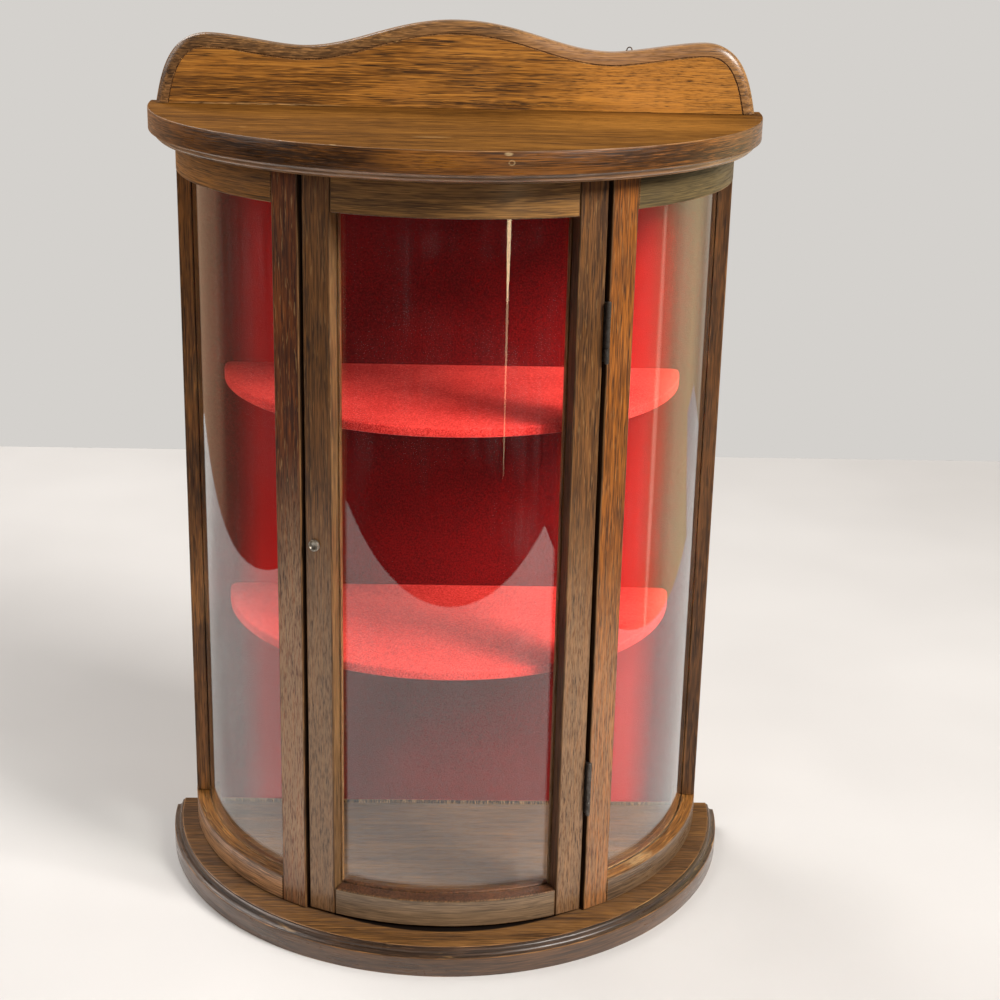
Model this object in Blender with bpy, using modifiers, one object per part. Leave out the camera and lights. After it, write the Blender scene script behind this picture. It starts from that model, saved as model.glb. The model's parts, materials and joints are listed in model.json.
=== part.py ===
"""Half-round wall curio cabinet with bent side glass, a curved glazed door and two felt shelves.

Metres, +Z up. The front faces -Y, the wall is at the highest Y and the origin lies
under the middle of the cabinet's box, on the surface that it stands on.
"""

from math import acos, atan, cos, pi, radians, sin, sqrt

import bmesh
import bpy
from mathutils import Matrix, Vector

# Boards that close the cabinet above and below
BOARD_RADIUS = 0.208
BASE_FRONT_STRETCH = 0.004
TOP_FRONT_STRETCH = 0.0
BASE_THICKNESS = 0.0195
TOP_THICKNESS = 0.020
CABINET_HEIGHT = 0.5512
EDGE_SHOULDER = 0.0014
EDGE_COVE = 0.0026
EDGE_BEAD = 0.0020
EDGE_FILLET = 0.0010

# Scalloped rail that stands on the back of the top board
CREST_THICKNESS = 0.013
CREST_WALL_GAP = 0.0045
CREST_END_INSET = 0.0056
CREST_END_LEAN = 0.0036
CREST_END_RISE = 0.0183
CREST_PEAK = 0.0574
CREST_EAR = 0.0458
CREST_SADDLE = 0.0387
CREST_EAR_FROM_END = 0.035
CREST_SADDLE_FROM_END = 0.099
CREST_EAR_REACH = 0.026
CREST_DIP_REACH = 0.0173
CREST_SADDLE_REACH = 0.0347
CREST_PEAK_REACH = 0.0434
CREST_ROUNDING = 0.0045
CREST_SCREW_FROM_END = 0.0624

# Curved walls, which share one upright axis behind the wall plane
CARCASS_INSET = 0.0165
CARCASS_SETBACK = 0.0065
RAIL_THICKNESS = 0.017
BOTTOM_RAIL_HEIGHT = 0.0182
TOP_RAIL_HEIGHT = 0.0222
POST_WIDTH = 0.020
REAR_POST_DEPTH = 0.016
REAR_POST_GLASS_GAP = 0.0008
REAR_POST_INSET = 0.0002
SIDE_GLASS_SETBACK = 0.010
GLASS_THICKNESS = 0.0025
GLASS_GROOVE = 0.004
LIFT_OUT_GROOVE = 0.010

# Back
PANEL_INSET = 0.001
PANEL_THICKNESS = 0.004
PANEL_SIDE_INSET = 0.0015
FELT_THICKNESS = 0.001
LINING_FLOOR_GAP = 0.004

# Shelves
SHELF_INSET = 0.030
SHELF_THICKNESS = 0.0052
UPPER_SHELF_HEIGHT = 0.3704
LOWER_SHELF_HEIGHT = 0.2021
SHELF_SCREW_FROM_END = 0.0515

# Door
DOOR_HALF_ANGLE = radians(29.5)
DOOR_GAP = 0.0024
DOOR_TOP_GAP = 0.0025
DOOR_BOTTOM_GAP = 0.0014
DOOR_RECESS = 0.0015
DOOR_THICKNESS = 0.017
STILE_WIDTH = 0.0195
DOOR_TOP_RAIL_HEIGHT = 0.022
DOOR_BOTTOM_RAIL_HEIGHT = 0.0198
DOOR_GLASS_SETBACK = 0.0105
REBATE_WIDTH = 0.007
GLASS_EDGE_GAP = 0.0012
PULL_HEIGHT = 0.290
PULL_FROM_EDGE = 0.007

# Hinges
HINGE_LENGTH = 0.038
HINGE_LEAF_WIDTH = 0.013
HINGE_LEAF_THICKNESS = 0.0007
KNUCKLE_RADIUS = 0.0016
KNUCKLE_GAP = 0.0004
HINGE_PIN_RADIUS = 0.0008
HINGE_PIN_HEAD = 0.0008
UPPER_HINGE_HEIGHT = 0.4332
LOWER_HINGE_HEIGHT = 0.1152
HINGE_SCREW_SPACING = 0.022

# Magnetic catch above the door
CATCH_ANGLE = radians(-14)
CATCH_WIDTH = 0.028
CATCH_DEPTH = 0.012
CATCH_HEIGHT = 0.009
CATCH_PLAY = 0.0005
STRIKE_WIDTH = 0.016
STRIKE_HEIGHT = 0.0095
STRIKE_THICKNESS = 0.001
CATCH_SCREW_SPACING = 0.016

# Hanging wire behind the crest
HANGER_FROM_END = 0.0954
HANGER_HEIGHT = 0.018
WIRE_RADIUS = 0.0004
WIRE_PITCH = 0.00125
WIRE_TURNS = 1.25
WIRE_SAG = 0.006
WIRE_CURL_RADIUS = 0.0017
WIRE_CURL_TURN = radians(310)
WIRE_TAIL_RISE = 0.0010
WIRE_TAIL_LEAN = 0.006

# Screws as (head radius, head height, shank radius, length)
SHELF_SCREW = (0.0028, 0.0017, 0.0011, 0.022)
HINGE_SCREW = (0.0018, 0.0010, 0.0008, 0.009)
CATCH_SCREW = (0.0020, 0.0012, 0.0009, 0.014)
CREST_SCREW = (0.0030, 0.0020, 0.0013, 0.034)
STRIKE_SCREW = (0.0018, 0.0008, 0.0008, 0.007)
HANGER_SCREW = (0.0034, 0.0013, 0.0011, 0.011)
PULL_HEAD_RADIUS = 0.0039
PULL_HEAD_HEIGHT = 0.0022
PULL_RIM = 0.0012
PULL_RECESS = 0.0015
PULL_EASING = 0.0004
PULL_SHANK_RADIUS = 0.0018
PULL_SHANK_LENGTH = 0.010
PAN_CROWN = 0.6
PAN_RIM = 0.4
SLOT_WIDTH = 0.0006
SLOT_DEPTH = 0.0005

# Fits and facets
SEAT_GAP = 0.0003
SCREW_GAP = 0.0002
PIN_GAP = 0.0001
FACET_ANGLE = radians(4)
SCREW_FACETS = 8
KNUCKLE_FACETS = 14
MOULDING_FACETS = 3
CREST_FACETS = 8
ROUNDING_FACETS = 3
WIRE_FACETS = 12
WIRE_RUN_STEPS = 8
WIRE_TAIL_STEPS = 5
FLAT_LIMIT = radians(0.1)
SMOOTH_LIMIT = radians(35)
WELD = 0.000002

# Places worked out from the sizes above
BASE_DEPTH = BOARD_RADIUS + BASE_FRONT_STRETCH
TOP_DEPTH = BOARD_RADIUS + TOP_FRONT_STRETCH
CARCASS_RADIUS = BOARD_RADIUS - CARCASS_INSET
SHELF_RADIUS = CARCASS_RADIUS - SHELF_INSET
BACK_Y = BASE_DEPTH / 2
CENTRE_Y = BACK_Y + CARCASS_SETBACK
TOP_UNDERSIDE = CABINET_HEIGHT - TOP_THICKNESS
RAIL_INNER = CARCASS_RADIUS - RAIL_THICKNESS
BOTTOM_RAIL_LOW = BASE_THICKNESS + SEAT_GAP
BOTTOM_RAIL_HIGH = BOTTOM_RAIL_LOW + BOTTOM_RAIL_HEIGHT
TOP_RAIL_HIGH = TOP_UNDERSIDE - SEAT_GAP
TOP_RAIL_LOW = TOP_RAIL_HIGH - TOP_RAIL_HEIGHT
SIDE_GLASS_OUTER = CARCASS_RADIUS - SIDE_GLASS_SETBACK
SIDE_GLASS_INNER = SIDE_GLASS_OUTER - GLASS_THICKNESS
PANEL_FRONT = BACK_Y - PANEL_INSET - PANEL_THICKNESS
LINING_FRONT = PANEL_FRONT - SEAT_GAP - FELT_THICKNESS
FRAME_BACK = LINING_FRONT - SEAT_GAP
POST_HALF_ANGLE = atan(POST_WIDTH / 2 / CARCASS_RADIUS)
GAP_ANGLE = DOOR_GAP / CARCASS_RADIUS
POST_INNER_ANGLE = DOOR_HALF_ANGLE + GAP_ANGLE
POST_ANGLE = POST_INNER_ANGLE + POST_HALF_ANGLE
POST_OUTER_ANGLE = POST_ANGLE + POST_HALF_ANGLE
DOOR_RADIUS = CARCASS_RADIUS - DOOR_RECESS
DOOR_INNER = DOOR_RADIUS - DOOR_THICKNESS
DOOR_GLASS_OUTER = DOOR_RADIUS - DOOR_GLASS_SETBACK
DOOR_GLASS_INNER = DOOR_GLASS_OUTER - GLASS_THICKNESS
DOOR_LOW = BASE_THICKNESS + DOOR_BOTTOM_GAP
DOOR_HIGH = TOP_UNDERSIDE - DOOR_TOP_GAP
DOOR_OPENING_LOW = DOOR_LOW + DOOR_BOTTOM_RAIL_HEIGHT
DOOR_OPENING_HIGH = DOOR_HIGH - DOOR_TOP_RAIL_HEIGHT
STILE_HALF_ANGLE = atan(STILE_WIDTH / 2 / DOOR_RADIUS)
STILE_ANGLE = DOOR_HALF_ANGLE - STILE_HALF_ANGLE
STILE_INNER_ANGLE = STILE_ANGLE - STILE_HALF_ANGLE
REBATE_ANGLE = STILE_INNER_ANGLE + REBATE_WIDTH / DOOR_GLASS_OUTER
CREST_BACK = BACK_Y - CREST_WALL_GAP
CREST_LOW = CABINET_HEIGHT + SEAT_GAP
CREST_END = BOARD_RADIUS - CREST_END_INSET
CREST_SCREW_X = CREST_END - CREST_SCREW_FROM_END
HANGER_X = CREST_END - HANGER_FROM_END
SHELF_SCREW_X = SHELF_RADIUS - SHELF_SCREW_FROM_END

# The hinge axis stands in the middle of the gap, just far enough out for its knuckles to clear the post
HINGE_ANGLE = POST_INNER_ANGLE - GAP_ANGLE / 2
POST_CORNER_RADIUS = CARCASS_RADIUS / cos(POST_HALF_ANGLE)
KNUCKLE_REACH = KNUCKLE_RADIUS + SEAT_GAP
KNUCKLE_PROUD = sqrt(max(KNUCKLE_REACH**2 - (DOOR_GAP / 2) ** 2, 0.0))
HINGE_RADIUS = POST_CORNER_RADIUS + KNUCKLE_PROUD


def polar(radius, angle):
    """Plan point on the curved walls, with the angle counted from the front towards the right."""
    return radius * sin(angle), CENTRE_Y - radius * cos(angle)


def on_flat(distance, angle, middle):
    """Plan point at this angle on the flat that faces the angle called middle."""
    return polar(distance / cos(angle - middle), angle)


def facets(angle):
    """Even number of facets for a turn, so that its middle falls on a corner."""
    return 2 * max(1, round(abs(angle) / FACET_ANGLE / 2))


def remove_scene_objects():
    for obj in list(bpy.data.objects):
        bpy.data.objects.remove(obj)


def make_collection(name):
    collection = bpy.data.collections.new(name)
    bpy.context.scene.collection.children.link(collection)
    return collection


def make_material(name, color, roughness, metallic=0.0, transmission=0.0):
    material = bpy.data.materials.new(name)
    material.use_nodes = True
    shader = material.node_tree.nodes["Principled BSDF"]
    shader.inputs["Base Color"].default_value = (*color, 1.0)
    shader.inputs["Roughness"].default_value = roughness
    shader.inputs["Metallic"].default_value = metallic
    shader.inputs["Transmission Weight"].default_value = transmission
    return material


remove_scene_objects()
PARTS = make_collection("wall_curio_cabinet")
CUTTERS = make_collection("cutters")
OAK = make_material("stained_oak", (0.23, 0.105, 0.036), 0.38)
DOOR_OAK = make_material("door_oak", (0.17, 0.095, 0.048), 0.42)
PLYWOOD = make_material("back_plywood", (0.33, 0.22, 0.12), 0.7)
FELT = make_material("red_felt", (0.55, 0.015, 0.022), 0.95)
GLASS = make_material("clear_glass", (0.95, 0.97, 0.96), 0.03, transmission=1.0)
DARK_STEEL = make_material("dark_steel", (0.055, 0.05, 0.045), 0.45, 1.0)
SCREW_STEEL = make_material("screw_steel", (0.42, 0.4, 0.36), 0.35, 1.0)
CATCH_PLASTIC = make_material("catch_plastic", (0.08, 0.06, 0.045), 0.5)


def place(name, mesh, material, location=(0.0, 0.0, 0.0), collection=None):
    """Adds a mesh to the model as a named object."""
    obj = bpy.data.objects.new(name, mesh)
    obj.location = location
    mesh.materials.append(material)
    (collection or PARTS).objects.link(obj)
    return obj


def finish_mesh(name, bm):
    """Turns a closed bmesh into a mesh with round faces smooth and its edges sharp."""
    bmesh.ops.remove_doubles(bm, verts=bm.verts, dist=WELD)
    bmesh.ops.recalc_face_normals(bm, faces=bm.faces)
    for face in bm.faces:
        turns = [edge.calc_face_angle(0.0) for edge in face.edges]
        face.smooth = any(FLAT_LIMIT < turn < SMOOTH_LIMIT for turn in turns)
    mesh = bpy.data.meshes.new(name)
    bm.to_mesh(mesh)
    bm.free()
    mesh.set_sharp_from_angle(angle=SMOOTH_LIMIT)
    return mesh


def sweep_mesh(profile, start, end):
    """Closed body made by turning a profile of (radius, height) points about the Z axis."""
    bm = bmesh.new()
    corners = [bm.verts.new((r * sin(start), -r * cos(start), h)) for r, h in profile]
    face = bm.faces.new(corners)
    bmesh.ops.spin(
        bm,
        geom=[*corners, *face.edges, face],
        cent=(0.0, 0.0, 0.0),
        axis=(0.0, 0.0, 1.0),
        angle=end - start,
        steps=facets(end - start),
    )
    return bm


def curved_piece(name, profile, start, end, material):
    """Piece of the curved walls between two angles."""
    mesh = finish_mesh(name, sweep_mesh(profile, start, end))
    return place(name, mesh, material, (0.0, CENTRE_Y, 0.0))


def half_round_board(name, profile, depth, material):
    """Half-round board against the wall plane, from a profile that ends on its axis."""
    bm = sweep_mesh(profile, -pi / 2, pi / 2)
    bmesh.ops.scale(bm, vec=(1.0, depth / BOARD_RADIUS, 1.0), verts=bm.verts)
    return place(name, finish_mesh(name, bm), material, (0.0, BACK_Y, 0.0))


def add_poly_spline(curve, points):
    spline = curve.splines.new("POLY")
    spline.points.add(len(points) - 1)
    for point, (x, y) in zip(spline.points, points):
        point.co = (x, y, 0.0, 1.0)
    spline.use_cyclic_u = True


def add_bezier_spline(curve, points):
    """Adds a closed spline from (handle before, point, handle after)."""
    spline = curve.splines.new("BEZIER")
    spline.bezier_points.add(len(points) - 1)
    for point, (before, middle, after) in zip(spline.bezier_points, points):
        point.handle_left_type = "FREE"
        point.handle_right_type = "FREE"
        point.handle_left = (*before, 0.0)
        point.co = (*middle, 0.0)
        point.handle_right = (*after, 0.0)
    spline.resolution_u = CREST_FACETS
    spline.use_cyclic_u = True


def flat_outline(name, thickness):
    """Empty outline that fills to a plate with half of its thickness on each side of the XY plane."""
    curve = bpy.data.curves.new(name, "CURVE")
    curve.dimensions = "2D"
    curve.fill_mode = "BOTH"
    curve.extrude = thickness / 2
    return curve


def outline_body(curve):
    """Closed body of a filled outline."""
    guide = bpy.data.objects.new(curve.name + "_outline", curve)
    bpy.context.scene.collection.objects.link(guide)
    graph = bpy.context.evaluated_depsgraph_get()
    mesh = bpy.data.meshes.new_from_object(guide.evaluated_get(graph))
    bpy.data.objects.remove(guide)
    bm = bmesh.new()
    bm.from_mesh(mesh)
    bpy.data.meshes.remove(mesh)
    bmesh.ops.remove_doubles(bm, verts=bm.verts, dist=WELD)
    return bm


def upright_prism(name, outline, low, high, material, collection=None):
    """Upright piece with this plan outline."""
    curve = flat_outline(name, high - low)
    add_poly_spline(curve, outline)
    mesh = finish_mesh(name, outline_body(curve))
    return place(name, mesh, material, (0.0, 0.0, (low + high) / 2), collection)


def box(name, size, material, matrix, collection=None):
    bm = bmesh.new()
    bmesh.ops.create_cube(bm, size=1.0, matrix=Matrix.Diagonal((*size, 1.0)))
    obj = place(name, finish_mesh(name, bm), material, collection=collection)
    obj.matrix_world = matrix
    return obj


def turned(name, profile, steps, material, matrix, collection=None):
    """Turned piece from a profile of (radius, height) points, from its top down its outer side."""
    mesh = bpy.data.meshes.new(name)
    edges = [(i, i + 1) for i in range(len(profile) - 1)]
    mesh.from_pydata([(r, 0.0, h) for r, h in profile], edges, [])
    obj = place(name, mesh, material, collection=collection)
    obj.matrix_world = matrix
    screw = obj.modifiers.new("turn", "SCREW")
    screw.axis = "Z"
    screw.steps = steps
    screw.render_steps = steps
    screw.use_merge_vertices = True
    screw.merge_threshold = WELD
    screw.use_smooth_shade = True
    return obj


def cut(hosts, cutter):
    """Hides the cutter and takes its shape out of each host."""
    cutter.hide_render = True
    cutter.display_type = "WIRE"
    for host in hosts:
        modifier = host.modifiers.new(cutter.name, "BOOLEAN")
        modifier.operation = "DIFFERENCE"
        modifier.object = cutter


def facing(point, direction):
    """Matrix that puts local +Z along a direction at a point."""
    return Matrix.Translation(point) @ Vector(direction).to_track_quat("Z", "Y").to_matrix().to_4x4()


def screw_profile(size, gap, pan):
    """Wood screw along -Z, grown by a gap: a countersunk one from its flush top, a pan head from its seat."""
    head, head_height, shank, length = size
    if pan:
        top = head_height + gap
        crown = [(0.0, top), (PAN_CROWN * head, top), (head + gap, PAN_RIM * head_height)]
        neck = [(head + gap, -gap), (shank + gap, -gap)]
    else:
        crown = [(0.0, gap), (head + gap, gap)]
        neck = [(shank + gap, -head_height)]
    tip = [(shank + gap, shank - length), (0.0, -length - gap)]
    return crown + neck + tip


def wood_screw(name, size, point, outward, hosts, pan=False):
    """Slotted screw driven against the outward direction, and its hole in each host."""
    matrix = facing(point, outward)
    screw = turned(name, screw_profile(size, 0.0, pan), SCREW_FACETS, SCREW_STEEL, matrix)
    hole = turned(
        name + "_hole", screw_profile(size, SCREW_GAP, pan), SCREW_FACETS, SCREW_STEEL, matrix, CUTTERS
    )
    cut(hosts, hole)
    head, head_height = size[:2]
    top = head_height if pan else 0.0
    slot_size = (2 * head + SLOT_WIDTH, SLOT_WIDTH, 2 * SLOT_DEPTH)
    slot_matrix = matrix @ Matrix.Translation((0.0, 0.0, top))
    cut([screw], box(name + "_slot", slot_size, SCREW_STEEL, slot_matrix, CUTTERS))
    return screw


def moulded_edge(thickness):
    """Outer edge of a board from its plain side to its moulded side, as (radius, height) points."""
    face = thickness - EDGE_COVE - EDGE_BEAD - EDGE_FILLET
    cove_radius = BOARD_RADIUS - EDGE_SHOULDER
    bead_centre = cove_radius - EDGE_COVE - EDGE_BEAD
    points = [(BOARD_RADIUS, 0.0), (BOARD_RADIUS, face)]
    for i in range(MOULDING_FACETS + 1):
        turn = pi / 2 * i / MOULDING_FACETS
        points.append((cove_radius - EDGE_COVE * sin(turn), face + EDGE_COVE * (1 - cos(turn))))
    for i in range(1, MOULDING_FACETS + 1):
        turn = pi / 2 * i / MOULDING_FACETS
        points.append((bead_centre + EDGE_BEAD * cos(turn), face + EDGE_COVE + EDGE_BEAD * sin(turn)))
    points.append((bead_centre, thickness))
    return points


def make_boards():
    base_edge = moulded_edge(BASE_THICKNESS)
    base_profile = [(0.0, 0.0), *base_edge, (0.0, BASE_THICKNESS)]
    half_round_board("base_board", base_profile, BASE_DEPTH, OAK)
    top_edge = [(r, CABINET_HEIGHT - h) for r, h in moulded_edge(TOP_THICKNESS)]
    top_profile = [(0.0, CABINET_HEIGHT), *top_edge, (0.0, TOP_UNDERSIDE)]
    return half_round_board("top_board", top_profile, TOP_DEPTH, OAK)


def level_point(x, height, reach_before, reach_after):
    """Bezier point with level handles, for an outline that runs from right to left."""
    return (x + reach_before, height), (x, height), (x - reach_after, height)


def crest_outline():
    """Scalloped outline as Bezier points: handle before, point, handle after."""
    ear = CREST_END - CREST_EAR_FROM_END
    saddle = CREST_END - CREST_SADDLE_FROM_END
    foot = (CREST_END, 0.0)
    right = [
        (foot, foot, (CREST_END - CREST_END_LEAN, CREST_END_RISE)),
        level_point(ear, CREST_EAR, CREST_EAR_REACH, CREST_DIP_REACH),
        level_point(saddle, CREST_SADDLE, CREST_DIP_REACH, CREST_SADDLE_REACH),
    ]
    peak = [level_point(0.0, CREST_PEAK, CREST_PEAK_REACH, CREST_PEAK_REACH)]
    left = [tuple((-x, z) for x, z in reversed(handles)) for handles in reversed(right)]
    return right + peak + left


def make_crest(top_board):
    """Crest rail with a rounded front edge, screwed on through the top board."""
    name = "crest_rail"
    curve = flat_outline(name, CREST_THICKNESS)
    add_bezier_spline(curve, crest_outline())
    bm = outline_body(curve)
    bmesh.ops.dissolve_limit(bm, angle_limit=FLAT_LIMIT, verts=bm.verts, edges=bm.edges)
    front = CREST_THICKNESS / 2
    rounded = []
    for edge in bm.edges:
        on_front = all(vert.co.z > front - WELD for vert in edge.verts)
        along_foot = all(vert.co.y < WELD for vert in edge.verts)
        if on_front and not along_foot and len(edge.link_faces) == 2:
            rounded.append(edge)
    bmesh.ops.bevel(
        bm,
        geom=rounded,
        offset=CREST_ROUNDING,
        offset_type="OFFSET",
        segments=ROUNDING_FACETS,
        profile=0.5,
        affect="EDGES",
        clamp_overlap=True,
    )
    crest = place(name, finish_mesh(name, bm), OAK)
    upright = Matrix.Rotation(pi / 2, 4, "X")
    crest.matrix_world = Matrix.Translation((0.0, CREST_BACK - front, CREST_LOW)) @ upright
    for side, sign in (("left", -1), ("right", 1)):
        head = (sign * CREST_SCREW_X, CREST_BACK - front, TOP_UNDERSIDE)
        wood_screw(side + "_crest_screw", CREST_SCREW, head, (0.0, 0.0, -1.0), [top_board, crest])
    return crest


def rail_profile(low, high, groove_low, groove_high):
    """Rail section with a groove for the bent glass between two heights, one of them its own edge."""
    outer = SIDE_GLASS_OUTER + SEAT_GAP
    inner = SIDE_GLASS_INNER - SEAT_GAP
    if groove_high == high:
        groove = [(outer, high), (outer, groove_low), (inner, groove_low), (inner, high)]
        return [(CARCASS_RADIUS, low), (CARCASS_RADIUS, high), *groove, (RAIL_INNER, high), (RAIL_INNER, low)]
    groove = [(inner, low), (inner, groove_high), (outer, groove_high), (outer, low)]
    return [(CARCASS_RADIUS, low), (CARCASS_RADIUS, high), (RAIL_INNER, high), (RAIL_INNER, low), *groove]


def rear_angle(radius):
    """Angle at which a circle of the curved walls meets the frame's back plane."""
    return acos((CENTRE_Y - FRAME_BACK) / radius)


def rear_x(radius, behind):
    """Half-width of a circle of the curved walls at a distance in front of the frame's back plane."""
    return sqrt(radius**2 - (CENTRE_Y - FRAME_BACK + behind) ** 2)


def make_side(side, sign):
    """Rails, posts and glass on one side; sign is 1 on the right and -1 on the left."""
    seat = SEAT_GAP / RAIL_INNER
    spans = sorted((sign * (POST_OUTER_ANGLE + seat), sign * rear_angle(RAIL_INNER)))
    low_rail = rail_profile(
        BOTTOM_RAIL_LOW, BOTTOM_RAIL_HIGH, BOTTOM_RAIL_HIGH - GLASS_GROOVE, BOTTOM_RAIL_HIGH
    )
    curved_piece(side + "_bottom_rail", low_rail, *spans, OAK)
    high_rail = rail_profile(TOP_RAIL_LOW, TOP_RAIL_HIGH, TOP_RAIL_LOW, TOP_RAIL_LOW + LIFT_OUT_GROOVE)
    curved_piece(side + "_top_rail", high_rail, *spans, OAK)

    glass_low = BOTTOM_RAIL_HIGH - GLASS_GROOVE + SEAT_GAP
    glass_high = TOP_RAIL_LOW + (LIFT_OUT_GROOVE - GLASS_GROOVE)
    groove_angle = POST_OUTER_ANGLE - GLASS_GROOVE / SIDE_GLASS_OUTER
    glass_spans = sorted(
        (sign * (groove_angle + SEAT_GAP / SIDE_GLASS_OUTER), sign * rear_angle(SIDE_GLASS_INNER))
    )
    glass_profile = [
        (SIDE_GLASS_INNER, glass_low),
        (SIDE_GLASS_OUTER, glass_low),
        (SIDE_GLASS_OUTER, glass_high),
        (SIDE_GLASS_INNER, glass_high),
    ]
    curved_piece(side + "_side_glass", glass_profile, *glass_spans, GLASS)

    outer = SIDE_GLASS_OUTER + SEAT_GAP
    inner = SIDE_GLASS_INNER - SEAT_GAP
    post = [
        on_flat(CARCASS_RADIUS, POST_INNER_ANGLE, POST_ANGLE),
        on_flat(CARCASS_RADIUS, POST_OUTER_ANGLE, POST_ANGLE),
        polar(outer, POST_OUTER_ANGLE),
        polar(outer, groove_angle),
        polar(inner, groove_angle),
        polar(inner, POST_OUTER_ANGLE),
        on_flat(RAIL_INNER, POST_OUTER_ANGLE, POST_ANGLE),
        on_flat(RAIL_INNER, POST_INNER_ANGLE, POST_ANGLE),
    ]
    post_outline = [(sign * x, y) for x, y in post]
    front_post = upright_prism(side + "_front_post", post_outline, BOTTOM_RAIL_LOW, TOP_RAIL_HIGH, OAK)

    glass_side = SIDE_GLASS_OUTER + REAR_POST_GLASS_GAP
    outside = CARCASS_RADIUS - REAR_POST_INSET
    rear_post = [
        (sign * rear_x(glass_side, 0.0), FRAME_BACK),
        (sign * rear_x(outside, 0.0), FRAME_BACK),
        (sign * rear_x(outside, REAR_POST_DEPTH), FRAME_BACK - REAR_POST_DEPTH),
        (sign * rear_x(glass_side, REAR_POST_DEPTH), FRAME_BACK - REAR_POST_DEPTH),
    ]
    rear_low = BOTTOM_RAIL_HIGH + SEAT_GAP
    upright_prism(side + "_rear_post", rear_post, rear_low, TOP_RAIL_LOW - SEAT_GAP, OAK)
    return front_post


def make_back():
    half = CARCASS_RADIUS - PANEL_SIDE_INSET
    panel_low = BASE_THICKNESS + SEAT_GAP
    panel_high = TOP_UNDERSIDE - SEAT_GAP
    panel_size = (2 * half, PANEL_THICKNESS, panel_high - panel_low)
    panel_middle = (0.0, PANEL_FRONT + PANEL_THICKNESS / 2, (panel_low + panel_high) / 2)
    panel = box("back_panel", panel_size, PLYWOOD, Matrix.Translation(panel_middle))
    lining_low = BASE_THICKNESS + LINING_FLOOR_GAP
    lining_size = (2 * half, FELT_THICKNESS, panel_high - lining_low)
    lining_middle = (0.0, LINING_FRONT + FELT_THICKNESS / 2, (lining_low + panel_high) / 2)
    lining = box("back_lining", lining_size, FELT, Matrix.Translation(lining_middle))
    return panel, lining


def half_disc(radius, back_y):
    """Outline of a half-round shelf of this radius about the wall plane, cut straight at back_y."""
    reach = BACK_Y - back_y
    limit = acos(reach / radius)
    steps = facets(2 * limit)
    turns = [-limit + 2 * limit * i / steps for i in range(steps + 1)]
    return [(radius * sin(turn), BACK_Y - radius * cos(turn)) for turn in turns]


def make_shelf(level, height, panel, lining):
    """Shelf board, its felt cover and the screws that hold it through the back."""
    board_high = height - FELT_THICKNESS - SEAT_GAP
    board_low = board_high - SHELF_THICKNESS
    board_radius = SHELF_RADIUS - FELT_THICKNESS - SEAT_GAP
    board = upright_prism(
        level + "_shelf_board", half_disc(board_radius, FRAME_BACK), board_low, board_high, PLYWOOD
    )
    felt = upright_prism(
        level + "_shelf_felt", half_disc(SHELF_RADIUS, FRAME_BACK), board_low, height, FELT
    )
    hollow = upright_prism(
        level + "_shelf_hollow",
        half_disc(board_radius + SEAT_GAP, FRAME_BACK + SHELF_THICKNESS),
        board_low - SHELF_THICKNESS,
        board_high + SEAT_GAP,
        FELT,
        CUTTERS,
    )
    cut([felt], hollow)
    middle = (board_low + board_high) / 2
    places = {"left": -SHELF_SCREW_X, "middle": 0.0, "right": SHELF_SCREW_X}
    for where, x in places.items():
        name = f"{level}_shelf_screw_{where}"
        head = (x, BACK_Y - PANEL_INSET, middle)
        wood_screw(name, SHELF_SCREW, head, (0.0, 1.0, 0.0), [panel, lining, board])


def make_stile(side, sign):
    rebate = DOOR_GLASS_OUTER + SEAT_GAP
    outline = [
        on_flat(DOOR_RADIUS, STILE_INNER_ANGLE, STILE_ANGLE),
        on_flat(DOOR_RADIUS, DOOR_HALF_ANGLE, STILE_ANGLE),
        on_flat(DOOR_INNER, DOOR_HALF_ANGLE, STILE_ANGLE),
        on_flat(DOOR_INNER, REBATE_ANGLE, STILE_ANGLE),
        on_flat(rebate, REBATE_ANGLE, STILE_ANGLE),
        on_flat(rebate, STILE_INNER_ANGLE, STILE_ANGLE),
    ]
    mirrored = [(sign * x, y) for x, y in outline]
    return upright_prism(f"door_{side}_stile", mirrored, DOOR_LOW, DOOR_HIGH, DOOR_OAK)


def make_door_rails():
    """Curved rails between the stiles, rebated at the back for the glass."""
    rebate = DOOR_GLASS_OUTER + SEAT_GAP
    end = STILE_INNER_ANGLE - SEAT_GAP / DOOR_INNER
    top_step = DOOR_OPENING_HIGH + REBATE_WIDTH
    top_profile = [
        (DOOR_RADIUS, DOOR_OPENING_HIGH),
        (DOOR_RADIUS, DOOR_HIGH),
        (DOOR_INNER, DOOR_HIGH),
        (DOOR_INNER, top_step),
        (rebate, top_step),
        (rebate, DOOR_OPENING_HIGH),
    ]
    top = curved_piece("door_top_rail", top_profile, -end, end, DOOR_OAK)
    bottom_step = DOOR_OPENING_LOW - REBATE_WIDTH
    bottom_profile = [
        (DOOR_RADIUS, DOOR_LOW),
        (DOOR_RADIUS, DOOR_OPENING_LOW),
        (rebate, DOOR_OPENING_LOW),
        (rebate, bottom_step),
        (DOOR_INNER, bottom_step),
        (DOOR_INNER, DOOR_LOW),
    ]
    bottom = curved_piece("door_bottom_rail", bottom_profile, -end, end, DOOR_OAK)
    return [top, bottom]


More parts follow.
